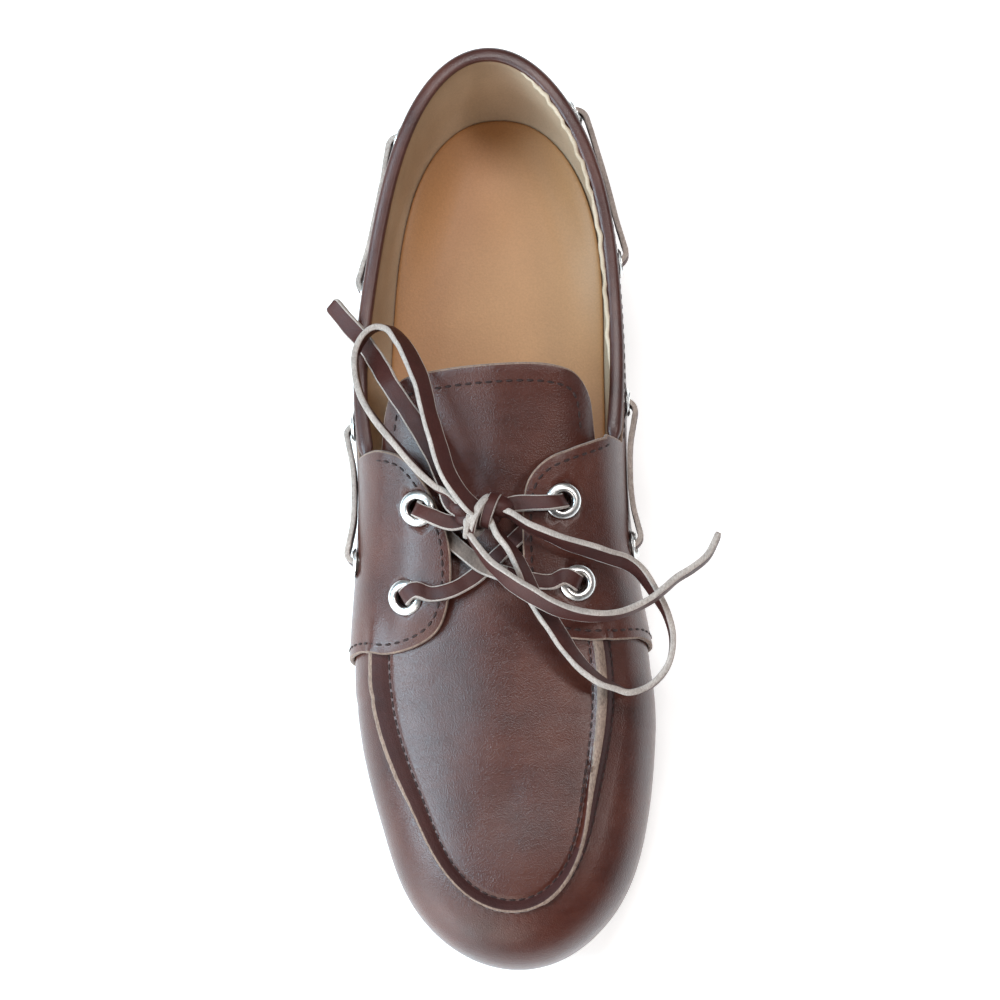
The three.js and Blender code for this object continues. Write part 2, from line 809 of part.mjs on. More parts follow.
function makeInsole() {
  const cut = ringSolid([
    { inset: () => -FEATHER_INSET, z: () => -FEATHER_INSET },
    { inset: () => -FEATHER_INSET, z: (m) => m.feather + GAP + INSOLE_THICKNESS },
  ]);
  return dome(-GAP).intersect(cut);
}

function underside() {
  const shape = new THREE.Shape();
  shape.moveTo(yOf(UNDERSIDE[0].at), -FAR);
  for (const row of UNDERSIDE) {
    shape.lineTo(yOf(row.at), row.toe * TOE_SPRING + row.arch * ARCH_RISE);
  }
  shape.lineTo(yOf(UNDERSIDE[UNDERSIDE.length - 1].at), -FAR);
  shape.closePath();
  return sidePrism(shape);
}

// One tread groove across the sole, a chevron that points to the toe
function treadGroove(at) {
  const around = Math.acos(1 - 2 * at);
  const left = meridian(around).start.x + TREAD_BORDER + FEATHER_INSET / 2;
  const right = meridian(2 * Math.PI - around).start.x - TREAD_BORDER - FEATHER_INSET / 2;
  const waves = 4;
  const wave = 1.6 * GROOVE_WIDTH;
  const places = [];
  for (let i = 0; i <= waves; i++) {
    const x = left + (right - left) * i / waves;
    places.push(new THREE.Vector2(x, yOf(at) + (i % 2 ? wave : 0)));
  }
  const shape = new THREE.Shape();
  shape.moveTo(places[0].x, places[0].y - GROOVE_WIDTH / 2);
  for (const p of places.slice(1)) shape.lineTo(p.x, p.y - GROOVE_WIDTH / 2);
  for (const p of [...places].reverse()) shape.lineTo(p.x, p.y + GROOVE_WIDTH / 2);
  shape.closePath();
  return planPrism(shape, -GROOVE_DEPTH, GROOVE_DEPTH);
}

function makeOutsole() {
  const levels = SOLE_WALL.map((row) => ({
    inset: () => row.inset * FEATHER_INSET,
    z: (m) => row.height * soleTop(m),
  }));
  let solid = ringSolid(levels).subtract(dome(WALL + GAP));
  solid = solid.subtract(underside());
  for (const at of [...FOREFOOT_GROOVES, ...HEEL_GROOVES]) solid = solid.subtract(treadGroove(at));
  return solid;
}

// Flanged ring with a short barrel, closed on itself, axis along the surface normal
function eyeletGeometry(flange, depth) {
  const bore = EYELET_BORE / 2;
  const barrel = barrelDiameter / 2;
  const rim = flange / 2;
  const profile = [
    [bore, -depth],
    [barrel, -depth],
    [barrel, GAP],
    [rim, GAP],
    [(rim + bore) / 2, GAP + FLANGE_THICKNESS],
    [bore, GAP + FLANGE_THICKNESS * 0.5],
    [bore, -depth],
  ].map(([r, y]) => new THREE.Vector2(r, y));
  return new THREE.LatheGeometry(profile, EYELET_SIDES);
}

function makeEyelet(place, flange, depth) {
  const geometry = eyeletGeometry(flange, depth);
  geometry.applyQuaternion(new THREE.Quaternion().setFromUnitVectors(new THREE.Vector3(0, 1, 0), place.normal));
  geometry.translate(place.point.x, place.point.y, place.point.z);
  return solidFromGeometry(geometry);
}

// A flat strip along a smooth path. Each station gives its place and the direction of its width.
function strip(stations, width, thickness, steps) {
  const path = new THREE.CatmullRomCurve3(stations.map((s) => s.point), false, 'centripetal');
  const sides = new THREE.CatmullRomCurve3(stations.map((s) => s.across), false, 'catmullrom');
  const points = [];
  const triangles = [[0, 2, 1], [0, 3, 2]];
  for (let i = 0; i <= steps; i++) {
    const centre = path.getPoint(i / steps);
    const tangent = path.getTangent(i / steps);
    const across = sides.getPoint(i / steps);
    across.addScaledVector(tangent, -across.dot(tangent)).normalize();
    const out = tangent.clone().cross(across).normalize();
    for (const [a, b] of [[-1, -1], [1, -1], [1, 1], [-1, 1]]) {
      points.push(centre.clone().addScaledVector(across, a * width / 2).addScaledVector(out, b * thickness / 2));
    }
  }
  for (let i = 0; i < steps; i++) {
    for (let k = 0; k < 4; k++) {
      const a = i * 4 + k;
      const b = i * 4 + (k + 1) % 4;
      triangles.push([a, b, b + 4], [a, b + 4, a + 4]);
    }
  }
  const end = steps * 4;
  triangles.push([end, end + 1, end + 2], [end, end + 2, end + 3]);
  return solidFromArrays(points, triangles);
}

// One crossing lace: up through its lower eyelet, over the tongue, under the other wing, up
// through the upper eyelet and back to the knot
function crossingStrip(lace) {
  const from = frontEyeletPlace(lace.from);
  const to = frontEyeletPlace(lace.to);
  const knotEnd = new THREE.Vector3(...lace.knotEnd);
  const plan = to.point.clone().sub(from.point).setZ(0).normalize();
  // A point along the surface from an eyelet towards a target, at a height above its seat
  const near = (place, target, along, height) => {
    const towards = target.clone().sub(place.point).projectOnPlane(place.normal).normalize();
    return place.point.clone().addScaledVector(towards, along).addScaledVector(place.normal, height);
  };
  const points = [
    near(from, to.point, 0, -QUARTER_THICKNESS),
    near(from, to.point, 0, 0.7),
    near(from, to.point, 1.2, 2.4),
    near(from, to.point, 4.4, 2.7),
    ...lace.middle.map(([across, at, height]) => topPlace(across * half, at, height).point),
    near(to, from.point, 2.6, -3.1),
    near(to, from.point, 0.4, -2.3),
    near(to, from.point, 0, -0.7),
    near(to, from.point, 0, 1.0),
    near(to, knotEnd, 1.2, 2.6),
    near(to, knotEnd, 4.4, 3.1),
    knotEnd,
  ];
  const across = new THREE.Vector3(-plan.y, plan.x, 0);
  const stations = points.map((point) => ({ point, across }));
  return strip(stations, LACE_WIDTH, LACE_THICKNESS, 2 * points.length);
}

// A stretch of side lace, out of one eyelet and along the wall into the next
function sideStrip([first, last]) {
  const flangeTop = GAP + FLANGE_THICKNESS;
  const rest = QUARTER_OUTER + flangeTop + GAP + LACE_THICKNESS / 2;
  const inside = QUARTER_OUTER - WALL;
  const rows = [
    [0, inside],
    [0, QUARTER_OUTER + flangeTop / 2],
    [0.04, rest + 0.3],
    [0.15, rest + 0.6],
    [0.35, rest + 0.9],
    [0.65, rest + 0.9],
    [0.85, rest + 0.6],
    [0.96, rest + 0.3],
    [1, QUARTER_OUTER + flangeTop / 2],
    [1, inside],
  ];
  const across = new THREE.Vector3(0, 0, 1);
  const stations = rows.map(([share, offset]) => {
    const at = THREE.MathUtils.lerp(first.at, last.at, share);
    const z = THREE.MathUtils.lerp(laceHeight(first), laceHeight(last), share);
    return { point: sidePlace(first.side, at, z, offset).point, across };
  });
  return strip(stations, LACE_WIDTH, LACE_THICKNESS, 14);
}

// A loop or end of the bow, through its listed points
function cordStrip(rows) {
  const points = rows.map(([x, y, z]) => new THREE.Vector3(x, y, z));
  const path = new THREE.CatmullRomCurve3(points, false, 'centripetal');
  const up = new THREE.Vector3(0, 0, 1);
  const stations = points.map((point, i) => {
    const tangent = path.getTangent(i / (points.length - 1));
    const level = tangent.clone().cross(up).normalize();
    const lean = rows[i][3] * Math.PI / 2;
    const across = up.clone().multiplyScalar(Math.cos(lean)).addScaledVector(level, Math.sin(lean));
    return { point, across };
  });
  return strip(stations, CORD_WIDTH, CORD_THICKNESS, Math.round(path.getLength() / CORD_STEP));
}

function makeKnot() {
  const geometry = new THREE.SphereGeometry(0.5, KNOT_SIDES, KNOT_SIDES - 2);
  geometry.scale(KNOT_SIZE.x, KNOT_SIZE.y, KNOT_SIZE.z);
  geometry.translate(KNOT_CENTRE.x, KNOT_CENTRE.y, KNOT_CENTRE.z);
  return solidFromGeometry(geometry);
}

function addMesh(group, name, solid, look) {
  const mesh = solid.getMesh();
  const geometry = new THREE.BufferGeometry();
  geometry.setAttribute('position', new THREE.BufferAttribute(new Float32Array(mesh.vertProperties), 3));
  geometry.setIndex(new THREE.BufferAttribute(new Uint32Array(mesh.triVerts), 1));
  geometry.computeVertexNormals();
  const material = new THREE.MeshStandardMaterial(look);
  const object = new THREE.Mesh(geometry, material);
  object.name = name;
  group.add(object);
}

const LEATHER = { color: 0x4a2420, roughness: 0.5, metalness: 0 };
const ROLL_LEATHER = { color: 0x52302a, roughness: 0.5, metalness: 0 };
const TONGUE_LEATHER = { color: 0x46221f, roughness: 0.5, metalness: 0 };
const INSOLE_LEATHER = { color: 0xb98a5c, roughness: 0.7, metalness: 0 };
const SOLE_RUBBER = { color: 0x2c1f1b, roughness: 0.8, metalness: 0 };
const EYELET_METAL = { color: 0xc8c8c8, roughness: 0.25, metalness: 1 };
const LACE_LEATHER = { color: 0x4d2b26, roughness: 0.55, metalness: 0 };

const shoe = new THREE.Group();
addMesh(shoe, 'outsole', makeOutsole(), SOLE_RUBBER);
addMesh(shoe, 'insole', makeInsole(), INSOLE_LEATHER);
addMesh(shoe, 'upper', makeUpper(), LEATHER);
addMesh(shoe, 'quarter_lateral', makeQuarter(-1, WING_LATERAL), LEATHER);
addMesh(shoe, 'quarter_medial', makeQuarter(1, WING_MEDIAL), LEATHER);
addMesh(shoe, 'collar_roll', makeCollarRoll(), ROLL_LEATHER);
addMesh(shoe, 'tongue', makeTongue(), TONGUE_LEATHER);
for (const name of Object.keys(FRONT_EYELETS)) {
  const solid = makeEyelet(frontEyeletPlace(name), FRONT_FLANGE, QUARTER_THICKNESS);
  addMesh(shoe, `eyelet_front_${name}`, solid, EYELET_METAL);
}
for (const [name, pair] of Object.entries(SIDE_LACES)) {
  pair.forEach((row, i) => {
    const solid = makeEyelet(sideEyeletPlace(row), SIDE_FLANGE, QUARTER_OUTER);
    addMesh(shoe, `eyelet_side_${name}_${i + 1}`, solid, EYELET_METAL);
  });
  addMesh(shoe, `side_lace_${name}`, sideStrip(pair), LACE_LEATHER);
}
const crossing = crossingStrip(CROSSING_UNDER).add(crossingStrip(CROSSING_OVER));
addMesh(shoe, 'lace_crossing', crossing, LACE_LEATHER);
addMesh(shoe, 'lace_knot', makeKnot(), LACE_LEATHER);
for (const [name, rows] of Object.entries(CORDS)) {
  addMesh(shoe, name, cordStrip(rows), LACE_LEATHER);
}

export default shoe;
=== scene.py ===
import math

import bmesh
import bpy
import numpy as np
from mathutils import Matrix, Vector
from mathutils.geometry import delaunay_2d_cdt


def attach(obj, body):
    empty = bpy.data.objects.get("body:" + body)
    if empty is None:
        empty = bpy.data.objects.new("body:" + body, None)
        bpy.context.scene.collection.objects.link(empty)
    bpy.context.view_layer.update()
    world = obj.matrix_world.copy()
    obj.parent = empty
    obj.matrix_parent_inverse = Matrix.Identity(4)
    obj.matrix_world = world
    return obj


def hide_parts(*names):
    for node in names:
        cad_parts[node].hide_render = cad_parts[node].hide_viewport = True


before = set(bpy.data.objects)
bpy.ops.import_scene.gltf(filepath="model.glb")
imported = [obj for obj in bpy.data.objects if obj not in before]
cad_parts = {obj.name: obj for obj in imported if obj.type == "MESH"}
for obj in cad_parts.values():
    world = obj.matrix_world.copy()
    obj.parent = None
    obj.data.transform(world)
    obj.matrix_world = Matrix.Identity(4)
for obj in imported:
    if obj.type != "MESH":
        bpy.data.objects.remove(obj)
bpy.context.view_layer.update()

# All sizes below are in millimetres and become metres when a mesh is made
MM = 0.001

# Driving sizes of the shoe
LENGTH = 255.0
BALL_WIDTH = 86.0
HALF = BALL_WIDTH / 2
LAST_HEIGHT = 90.0
HEEL_SEAT = 17.0
COLLAR_HEIGHT = 68.0
FEATHER_INSET = 8.0
GAP = 0.3
WALL = 1.6
QUARTER_THICKNESS = 1.3
WING_LIFT = 1.8
SEAM_INSET = 12.0
SEAM_WIDTH = 4.2
SEAM_RIDGE = 1.8
TONGUE_THICKNESS = 1.6
INSOLE_THICKNESS = 3.0
ROLL_HEIGHT = 3.4
ROLL_OVERHANG = 0.3
QUARTER_INNER = WALL + GAP
QUARTER_OUTER = QUARTER_INNER + QUARTER_THICKNESS
TONGUE_TOP = -ROLL_OVERHANG - GAP

# Sole
ARCH_RISE = 5.0
TOE_SPRING = 5.5
SOLE_LIP = 1.8
GROOVE_DEPTH = 1.6
GROOVE_WIDTH = 2.2
TREAD_BORDER = 9.0

# Laces and eyelets
LACE_WIDTH = 4.0
LACE_THICKNESS = 1.5
CORD_WIDTH = 5.2
CORD_THICKNESS = 1.7
EYELET_BORE = 5.2
BARREL_WALL = 0.45
FLANGE_THICKNESS = 0.9
FRONT_FLANGE = 10.0
SIDE_FLANGE = 8.6

# Stitches
STITCH_PITCH = 2.9
STITCH_LENGTH = 2.0
STITCH_WIDTH = 0.74


def natural_spline(xs, ys):
    """Natural cubic spline through a short table, held flat beyond its ends."""
    xs, ys = np.array(xs, float), np.array(ys, float)
    n = len(xs)
    h = np.diff(xs)
    matrix = np.eye(n)
    right = np.zeros(n)
    for i in range(1, n - 1):
        matrix[i, i - 1:i + 2] = h[i - 1], 2 * (h[i - 1] + h[i]), h[i]
        right[i] = 6 * ((ys[i + 1] - ys[i]) / h[i] - (ys[i] - ys[i - 1]) / h[i - 1])
    second = np.linalg.solve(matrix, right)

    def value(x):
        x = np.clip(np.asarray(x, float), xs[0], xs[-1])
        i = np.clip(np.searchsorted(xs, x, side="right") - 1, 0, n - 2)
        a = (xs[i + 1] - x) / h[i]
        b = 1 - a
        curve = ((a ** 3 - a) * second[i] + (b ** 3 - b) * second[i + 1]) * h[i] ** 2 / 6
        return a * ys[i] + b * ys[i + 1] + curve
    return value


def table(columns, rows):
    """One curve per named column, all along the first column."""
    first = [row[0] for row in rows]
    return {name: natural_spline(first, [row[i + 1] for row in rows]) for i, name in enumerate(columns[1:])}


# Sections of the last, in the same shares as the frame's own pieces
SECTION = table(
    ["at", "centre", "lateral", "medial", "bulge", "feather", "inset_lateral", "inset_medial", "fullness"],
    [
        [0.00, 0.040, 1.38, 1.38, 0.222, 0.71, 1.00, 1.00, 2.6],
        [0.06, 0.040, 1.31, 1.29, 0.222, 0.65, 1.00, 1.00, 2.6],
        [0.15, 0.034, 1.18, 1.15, 0.228, 0.55, 1.00, 1.00, 2.5],
        [0.27, 0.019, 1.10, 1.04, 0.244, 0.47, 1.00, 1.00, 2.5],
        [0.40, 0.003, 0.95, 0.86, 0.278, 0.49, 0.90, 0.90, 2.7],
        [0.52, -0.006, 0.87, 0.775, 0.322, 0.64, 0.80, 0.75, 3.2],
        [0.62, -0.006, 0.91, 0.795, 0.344, 0.77, 0.80, 0.75, 3.6],
        [0.74, -0.006, 0.93, 0.85, 0.367, 0.92, 0.85, 0.80, 3.8],
        [0.87, -0.014, 0.95, 0.95, 0.378, 1.00, 0.95, 0.90, 3.5],
        [1.00, -0.026, 1.00, 1.00, 0.378, 1.00, 1.00, 1.00, 3.0],
    ],
)
SPINE = table(
    ["at", "height"],
    [[0.00, 0.400], [0.14, 0.417], [0.22, 0.450], [0.30, 0.483], [0.40, 0.550], [0.50, 0.639],
     [0.60, 0.744], [0.70, 0.856], [0.80, 0.933], [0.90, 0.978], [1.00, 1.000]],
)
TOPLINE = table(
    ["at", "height"],
    [[0.50, 0.750], [0.60, 0.750], [0.68, 0.757], [0.76, 0.794], [0.85, 0.882], [0.94, 0.970], [1.00, 1.000]],
)
SEAM = table(
    ["at", "lateral", "medial", "width", "ridge"],
    [
        [0.00, 1.08, 1.08, 0.70, 1.0],
        [0.05, 1.02, 1.14, 0.68, 1.0],
        [0.12, 0.88, 1.12, 0.75, 1.0],
        [0.20, 0.66, 1.02, 0.88, 1.0],
        [0.27, 0.52, 0.90, 1.00, 1.0],
        [0.33, 0.48, 0.82, 1.00, 0.9],
        [0.38, 0.48, 0.80, 1.00, 0.1],
        [0.43, 0.50, 0.80, 1.00, 0.0],
        [1.00, 0.60, 0.80, 1.00, 0.0],
    ],
)
SPINE_FRONT = 0.17
SPINE_BACK = 0.86
SPINE_SOFTNESS = 5
LOWER_FULLNESS = 1.7

# Inner edges of the wings: across as a share of half the ball width, at along the length
WING_LATERAL = [
    [-0.92, 0.335], [-0.76, 0.328], [-0.53, 0.334], [-0.38, 0.351], [-0.305, 0.391], [-0.305, 0.436],
    [-0.345, 0.461], [-0.45, 0.498], [-0.62, 0.532], [-0.80, 0.5455],
]
WING_MEDIAL = [
    [0.92, 0.348], [0.79, 0.342], [0.58, 0.338], [0.34, 0.344], [0.225, 0.366], [0.182, 0.391],
    [0.182, 0.486], [0.225, 0.506], [0.33, 0.523], [0.50, 0.537], [0.72, 0.556],
]
COLLAR_FRONT_LATERAL = 0.542
COLLAR_FRONT_MEDIAL = 0.560
TONGUE = [
    [-0.42, 0.381], [-0.72, 0.426], [-0.84, 0.506], [-0.82, 0.556], [-0.76, 0.594], [-0.66, 0.612],
    [-0.38, 0.620], [0.08, 0.626], [0.40, 0.624], [0.56, 0.617], [0.65, 0.600], [0.68, 0.571],
    [0.70, 0.506], [0.62, 0.426], [0.36, 0.381],
]

# Front eyelets (across, at) and side eyelets (side, at, drop below the topline)
FRONT_EYELETS = {
    "lateral_upper": (-0.481, 0.482),
    "lateral_lower": (-0.567, 0.3895),
    "medial_upper": (0.404, 0.487),
    "medial_lower": (0.482, 0.4015),
}
SIDE_LACES = {
    "lateral_front": [(-1, 0.438, 16), (-1, 0.592, 11)],
    "lateral_rear": [(-1, 0.743, 10), (-1, 0.911, 11)],
    "medial_front": [(1, 0.452, 16), (1, 0.614, 11)],
    "medial_rear": [(1, 0.771, 10), (1, 0.934, 11)],
}
CROSSINGS = [
    {
        "from": "lateral_lower",
        "to": "medial_upper",
        "middle": [
            [-0.41, 0.392, 6.4], [-0.285, 0.395, 6.5], [-0.19, 0.403, 4.3], [-0.08, 0.4165, 2.75],
            [0.05, 0.436, 2.4], [0.163, 0.453, 1.8], [0.28, 0.469, 1.6],
        ],
        "knot_end": [5.0, -6.3, 62.6],
        "rough": (1, 0),
    },
    {
        "from": "medial_lower",
        "to": "lateral_upper",
        "middle": [
            [0.33, 0.4025, 6.7], [0.19, 0.405, 6.7], [0.09, 0.409, 5.4], [-0.08, 0.4185, 4.05],
            [-0.19, 0.4315, 3.2], [-0.285, 0.445, 2.2], [-0.38, 0.461, 1.6],
        ],
        "knot_end": [-12.2, -11.2, 62.3],
        "rough": (0.30, 0.62),
    },
]

# The free lace: x, y, z in metres as in the frame, and lean, 0 on edge and 1 flat
KNOT_CENTRE = (-0.0040, -0.0095, 0.0635)
CORDS = {
    "lace_loop_lateral": [
        [-0.0125, -0.0045, 0.0678, 0.00], [-0.0155, -0.0030, 0.0685, 0.00], [-0.0200, 0.0010, 0.0695, 0.00],
        [-0.0270, 0.0095, 0.0700, 0.00], [-0.0330, 0.0170, 0.0695, 0.00], [-0.0370, 0.0245, 0.0670, 0.00],
        [-0.0390, 0.0325, 0.0640, 0.00], [-0.0390, 0.0390, 0.0618, 0.00], [-0.0370, 0.0435, 0.0610, 0.00],
        [-0.0340, 0.0460, 0.0608, 0.10], [-0.0300, 0.0455, 0.0615, 0.25], [-0.0260, 0.0405, 0.0645, 0.45],
        [-0.0225, 0.0335, 0.0690, 0.60], [-0.0195, 0.0255, 0.0723, 0.60], [-0.0175, 0.0170, 0.0735, 0.60],
        [-0.0150, 0.0085, 0.0735, 0.60], [-0.0125, 0.0005, 0.0725, 0.60], [-0.0095, -0.0045, 0.0713, 0.60],
        [-0.0065, -0.0080, 0.0700, 0.60],
    ],
    "lace_loop_medial": [
        [0.0042, -0.0098, 0.0650, 0.00], [0.0095, -0.0135, 0.0655, 0.00], [0.0150, -0.0160, 0.0650, 0.00],
        [0.0200, -0.0180, 0.0640, 0.00], [0.0255, -0.0195, 0.0625, 0.00], [0.0310, -0.0210, 0.0605, 0.00],
        [0.0355, -0.0220, 0.0580, 0.00], [0.0390, -0.0240, 0.0555, 0.00], [0.0430, -0.0290, 0.0520, 0.00],
        [0.0465, -0.0350, 0.0485, 0.00], [0.0480, -0.0415, 0.0460, 0.00], [0.0465, -0.0485, 0.0450, 0.00],
        [0.0415, -0.0540, 0.0450, 0.00], [0.0360, -0.0560, 0.0465, 0.00], [0.0320, -0.0550, 0.0485, 0.00],
        [0.0280, -0.0535, 0.0505, 0.00], [0.0235, -0.0500, 0.0525, 0.00], [0.0200, -0.0460, 0.0545, 0.00],
        [0.0150, -0.0385, 0.0580, 0.00], [0.0105, -0.0320, 0.0605, 0.00], [0.0080, -0.0260, 0.0625, 0.00],
        [0.0045, -0.0195, 0.0640, 0.00], [0.0010, -0.0152, 0.0645, 0.00],
    ],
    "lace_end_lateral": [
        [-0.0115, -0.0060, 0.0633, 0.90], [-0.0140, 0.0010, 0.0645, 0.90], [-0.0175, 0.0090, 0.0650, 0.90],
        [-0.0220, 0.0170, 0.0655, 0.90], [-0.0260, 0.0230, 0.0660, 0.90], [-0.0295, 0.0285, 0.0660, 0.85],
        [-0.0320, 0.0335, 0.0630, 0.80], [-0.0355, 0.0400, 0.0575, 0.80], [-0.0385, 0.0450, 0.0536, 0.80],
        [-0.0425, 0.0500, 0.0525, 0.70], [-0.0475, 0.0565, 0.0520, 0.60],
    ],
    "lace_end_medial": [
        [-0.0070, -0.0150, 0.0640, 0.00], [-0.0040, -0.0200, 0.0645, 0.00], [-0.0015, -0.0235, 0.0652, 0.00],
        [0.0015, -0.0265, 0.0660, 0.00], [0.0055, -0.0300, 0.0670, 0.00], [0.0100, -0.0330, 0.0675, 0.00],
        [0.0175, -0.0370, 0.0670, 0.00], [0.0255, -0.0385, 0.0650, 0.00], [0.0335, -0.0375, 0.0620, 0.00],
        [0.0415, -0.0335, 0.0595, 0.00], [0.0455, -0.0305, 0.0590, 0.00], [0.0495, -0.0270, 0.0585, 0.00],
        [0.0540, -0.0240, 0.0580, 0.00], [0.0580, -0.0205, 0.0575, 0.00], [0.0610, -0.0145, 0.0570, 0.00],
    ],
}


# Geometry of the last

def smoothstep(value, low, high):
    t = np.clip((np.asarray(value, float) - low) / (high - low), 0, 1)
    return t * t * (3 - 2 * t)


def bump(value, centre, width):
    """A smooth hill of height 1 around a centre."""
    return np.exp(-((np.asarray(value, float) - centre) / width) ** 2)


def unit(vectors):
    """The vectors at length 1."""
    return vectors / np.maximum(np.linalg.norm(vectors, axis=-1, keepdims=True), 1e-9)


def y_of(at):
    return (np.asarray(at, float) - 0.5) * LENGTH


def at_of(y):
    return np.asarray(y, float) / LENGTH + 0.5


def spine_share(at):
    middle = (SPINE_FRONT + SPINE_BACK) / 2
    reach = (SPINE_BACK - SPINE_FRONT) / 2
    v = (at - middle) / reach
    return middle + reach * v / (1 + np.abs(v) ** SPINE_SOFTNESS) ** (1 / SPINE_SOFTNESS)


def meridian(u):
    """Facts of the meridians at the angles u: 0 at the toe, lateral side first."""
    u = np.asarray(u, float)
    at = (1 - np.cos(u)) / 2
    lateral = np.sin(u) >= 0
    reach = np.where(lateral, -SECTION["lateral"](at), SECTION["medial"](at))
    start = np.stack([SECTION["centre"](at) * BALL_WIDTH + HALF * np.abs(np.sin(u)) * reach, y_of(at)], -1)
    top = spine_share(at)
    end = np.stack([SECTION["centre"](top) * BALL_WIDTH, y_of(top)], -1)
    inset = np.where(lateral, SECTION["inset_lateral"](at), SECTION["inset_medial"](at)) * FEATHER_INSET
    return {
        "at": at,
        "lateral": lateral,
        "start": start,
        "end": end,
        "span": np.linalg.norm(end - start, axis=-1),
        "inset": inset,
        "bulge": SECTION["bulge"](at) * LAST_HEIGHT,
        "feather": SECTION["feather"](at) * HEEL_SEAT,
        "crown": SPINE["height"](top) * LAST_HEIGHT,
        "fullness": SECTION["fullness"](at),
    }


def last_point(u, phi):
    m = meridian(u)
    c = np.maximum(np.cos(phi), 0)
    s = np.abs(np.sin(phi))
    above = phi >= 0
    below = m["inset"] / m["span"] * (1 - c ** (2 / LOWER_FULLNESS))
    share = np.where(above, 1 - c ** (2 / m["fullness"]), below)
    z = np.where(
        above,
        m["bulge"] + (m["crown"] - m["bulge"]) * s ** (2 / m["fullness"]),
        m["bulge"] - (m["bulge"] - m["feather"]) * s ** (2 / LOWER_FULLNESS),
    )
    plan = m["start"] + (m["end"] - m["start"]) * share[..., None]
    return np.concatenate([plan, z[..., None]], -1)


def last_normal(u, phi):
    step = 1e-4
    limit = math.pi / 2 - 2e-3
    phi = np.clip(phi, -limit, limit)
    up = last_point(u, phi + step) - last_point(u, phi - step)
    along = last_point(u + step, phi) - last_point(u - step, phi)
    return unit(np.cross(up, along))


def place(u, phi, offset):
    """Points at an offset along the outward normal."""
    u, phi = np.broadcast_arrays(np.asarray(u, float), np.asarray(phi, float))
    return last_point(u, phi) + last_normal(u, phi) * np.asarray(offset, float)[..., None]


def phi_of_inset(m, inset):
    share = np.clip(inset / m["span"], 0, 1)
    return np.arccos(np.clip((1 - share) ** (m["fullness"] / 2), 0, 1))


def phi_of_height(m, z):
    rising = np.clip((z - m["bulge"]) / (m["crown"] - m["bulge"]), 0, 1) ** (m["fullness"] / 2)
    falling = np.clip((m["bulge"] - z) / (m["bulge"] - m["feather"]), 0, 1) ** (LOWER_FULLNESS / 2)
    return np.where(z >= m["bulge"], np.arcsin(rising), -np.arcsin(falling))


def wing_lift(m, inset):
    inwards = smoothstep(inset, 0.18 * HALF, 0.42 * HALF)
    front = smoothstep(m["at"], 0.325, 0.375)
    back = 1 - smoothstep(m["at"], 0.53, 0.62)
    return WING_LIFT * inwards * front * back


def seam_profile(m, inset):
    """Height of the moccasin seam above the plain surface: a raw step, a flat band, a crease."""
    outer = SEAM_INSET * np.where(m["lateral"], SEAM["lateral"](m["at"]), SEAM["medial"](m["at"]))
    width = SEAM_WIDTH * SEAM["width"](m["at"])
    ridge = SEAM_RIDGE * SEAM["ridge"](m["at"])
    share = (inset - outer) / width
    return ridge * np.interp(share, [0, 0.12, 0.55, 0.9, 1.0, 1.25], [0, 1, 0.72, 0.18, 0.02, 0])


def angle_of_plan(x, y):
    """(u, phi) of the upper surface under plan points, by Newton steps."""
    x, y = np.broadcast_arrays(np.asarray(x, float), np.asarray(y, float))
    at = np.clip(at_of(y), 0.002, 0.998)
    centre = SECTION["centre"](at) * BALL_WIDTH
    u = np.arccos(1 - 2 * at)
    u = np.where(x < centre, u, 2 * math.pi - u)
    m = meridian(u)
    share = np.clip((x - m["start"][..., 0]) / (m["end"][..., 0] - m["start"][..., 0]), 0, 1)
    step = 1e-4
    for _ in range(7):
        m = meridian(u)
        ahead = meridian(u + step)
        here = m["start"] + (m["end"] - m["start"]) * share[..., None]
        there = ahead["start"] + (ahead["end"] - ahead["start"]) * share[..., None]
        du = (there - here) / step
        ds = m["end"] - m["start"]
        det = du[..., 0] * ds[..., 1] - du[..., 1] * ds[..., 0]
        ex = x - here[..., 0]
        ey = y - here[..., 1]
        u = u + np.clip((ex * ds[..., 1] - ey * ds[..., 0]) / det, -0.2, 0.2)
        share = np.clip(share + (du[..., 0] * ey - du[..., 1] * ex) / det, 0, 0.9995)
    m = meridian(u)
    return u, phi_of_inset(m, share * m["span"])


def top_place(across, at, offset, lifted=False):
    """Point and normal on the top of the foot, as the frame's pieces use them."""
    at = np.atleast_1d(np.asarray(at, float))
    x = np.atleast_1d(np.asarray(across, float)) * HALF
    centre = SECTION["centre"](at) * BALL_WIDTH
    around = np.arccos(1 - 2 * at)
    u = np.where(x < centre, around, 2 * math.pi - around)
    m = meridian(u)
    inset = (x - m["start"][..., 0]) / (centre - m["start"][..., 0]) * m["span"]
    phi = np.minimum(phi_of_inset(m, inset), math.pi / 2 - 0.02)
    lift = wing_lift(m, inset) if lifted else 0
    return place(u, phi, offset + lift + 0 * inset), last_normal(u, phi)


def side_place(side, at, z, offset):
    at = np.atleast_1d(np.asarray(at, float))
    around = np.arccos(1 - 2 * at)
    u = around if side < 0 else 2 * math.pi - around
    phi = phi_of_height(meridian(u), np.asarray(z, float))
    return place(u, phi, offset + 0 * u), last_normal(u, phi)


def lace_height(at, drop):
    return TOPLINE["height"](at) * COLLAR_HEIGHT - drop


# The last unrolled: x is the angle times a radius, y the length along the meridian

UNROLL_RADIUS = 100.0
UNROLL_U = np.linspace(0, 2 * math.pi, 361)
UNROLL_PHI = np.linspace(-math.pi / 2, math.pi / 2, 361)


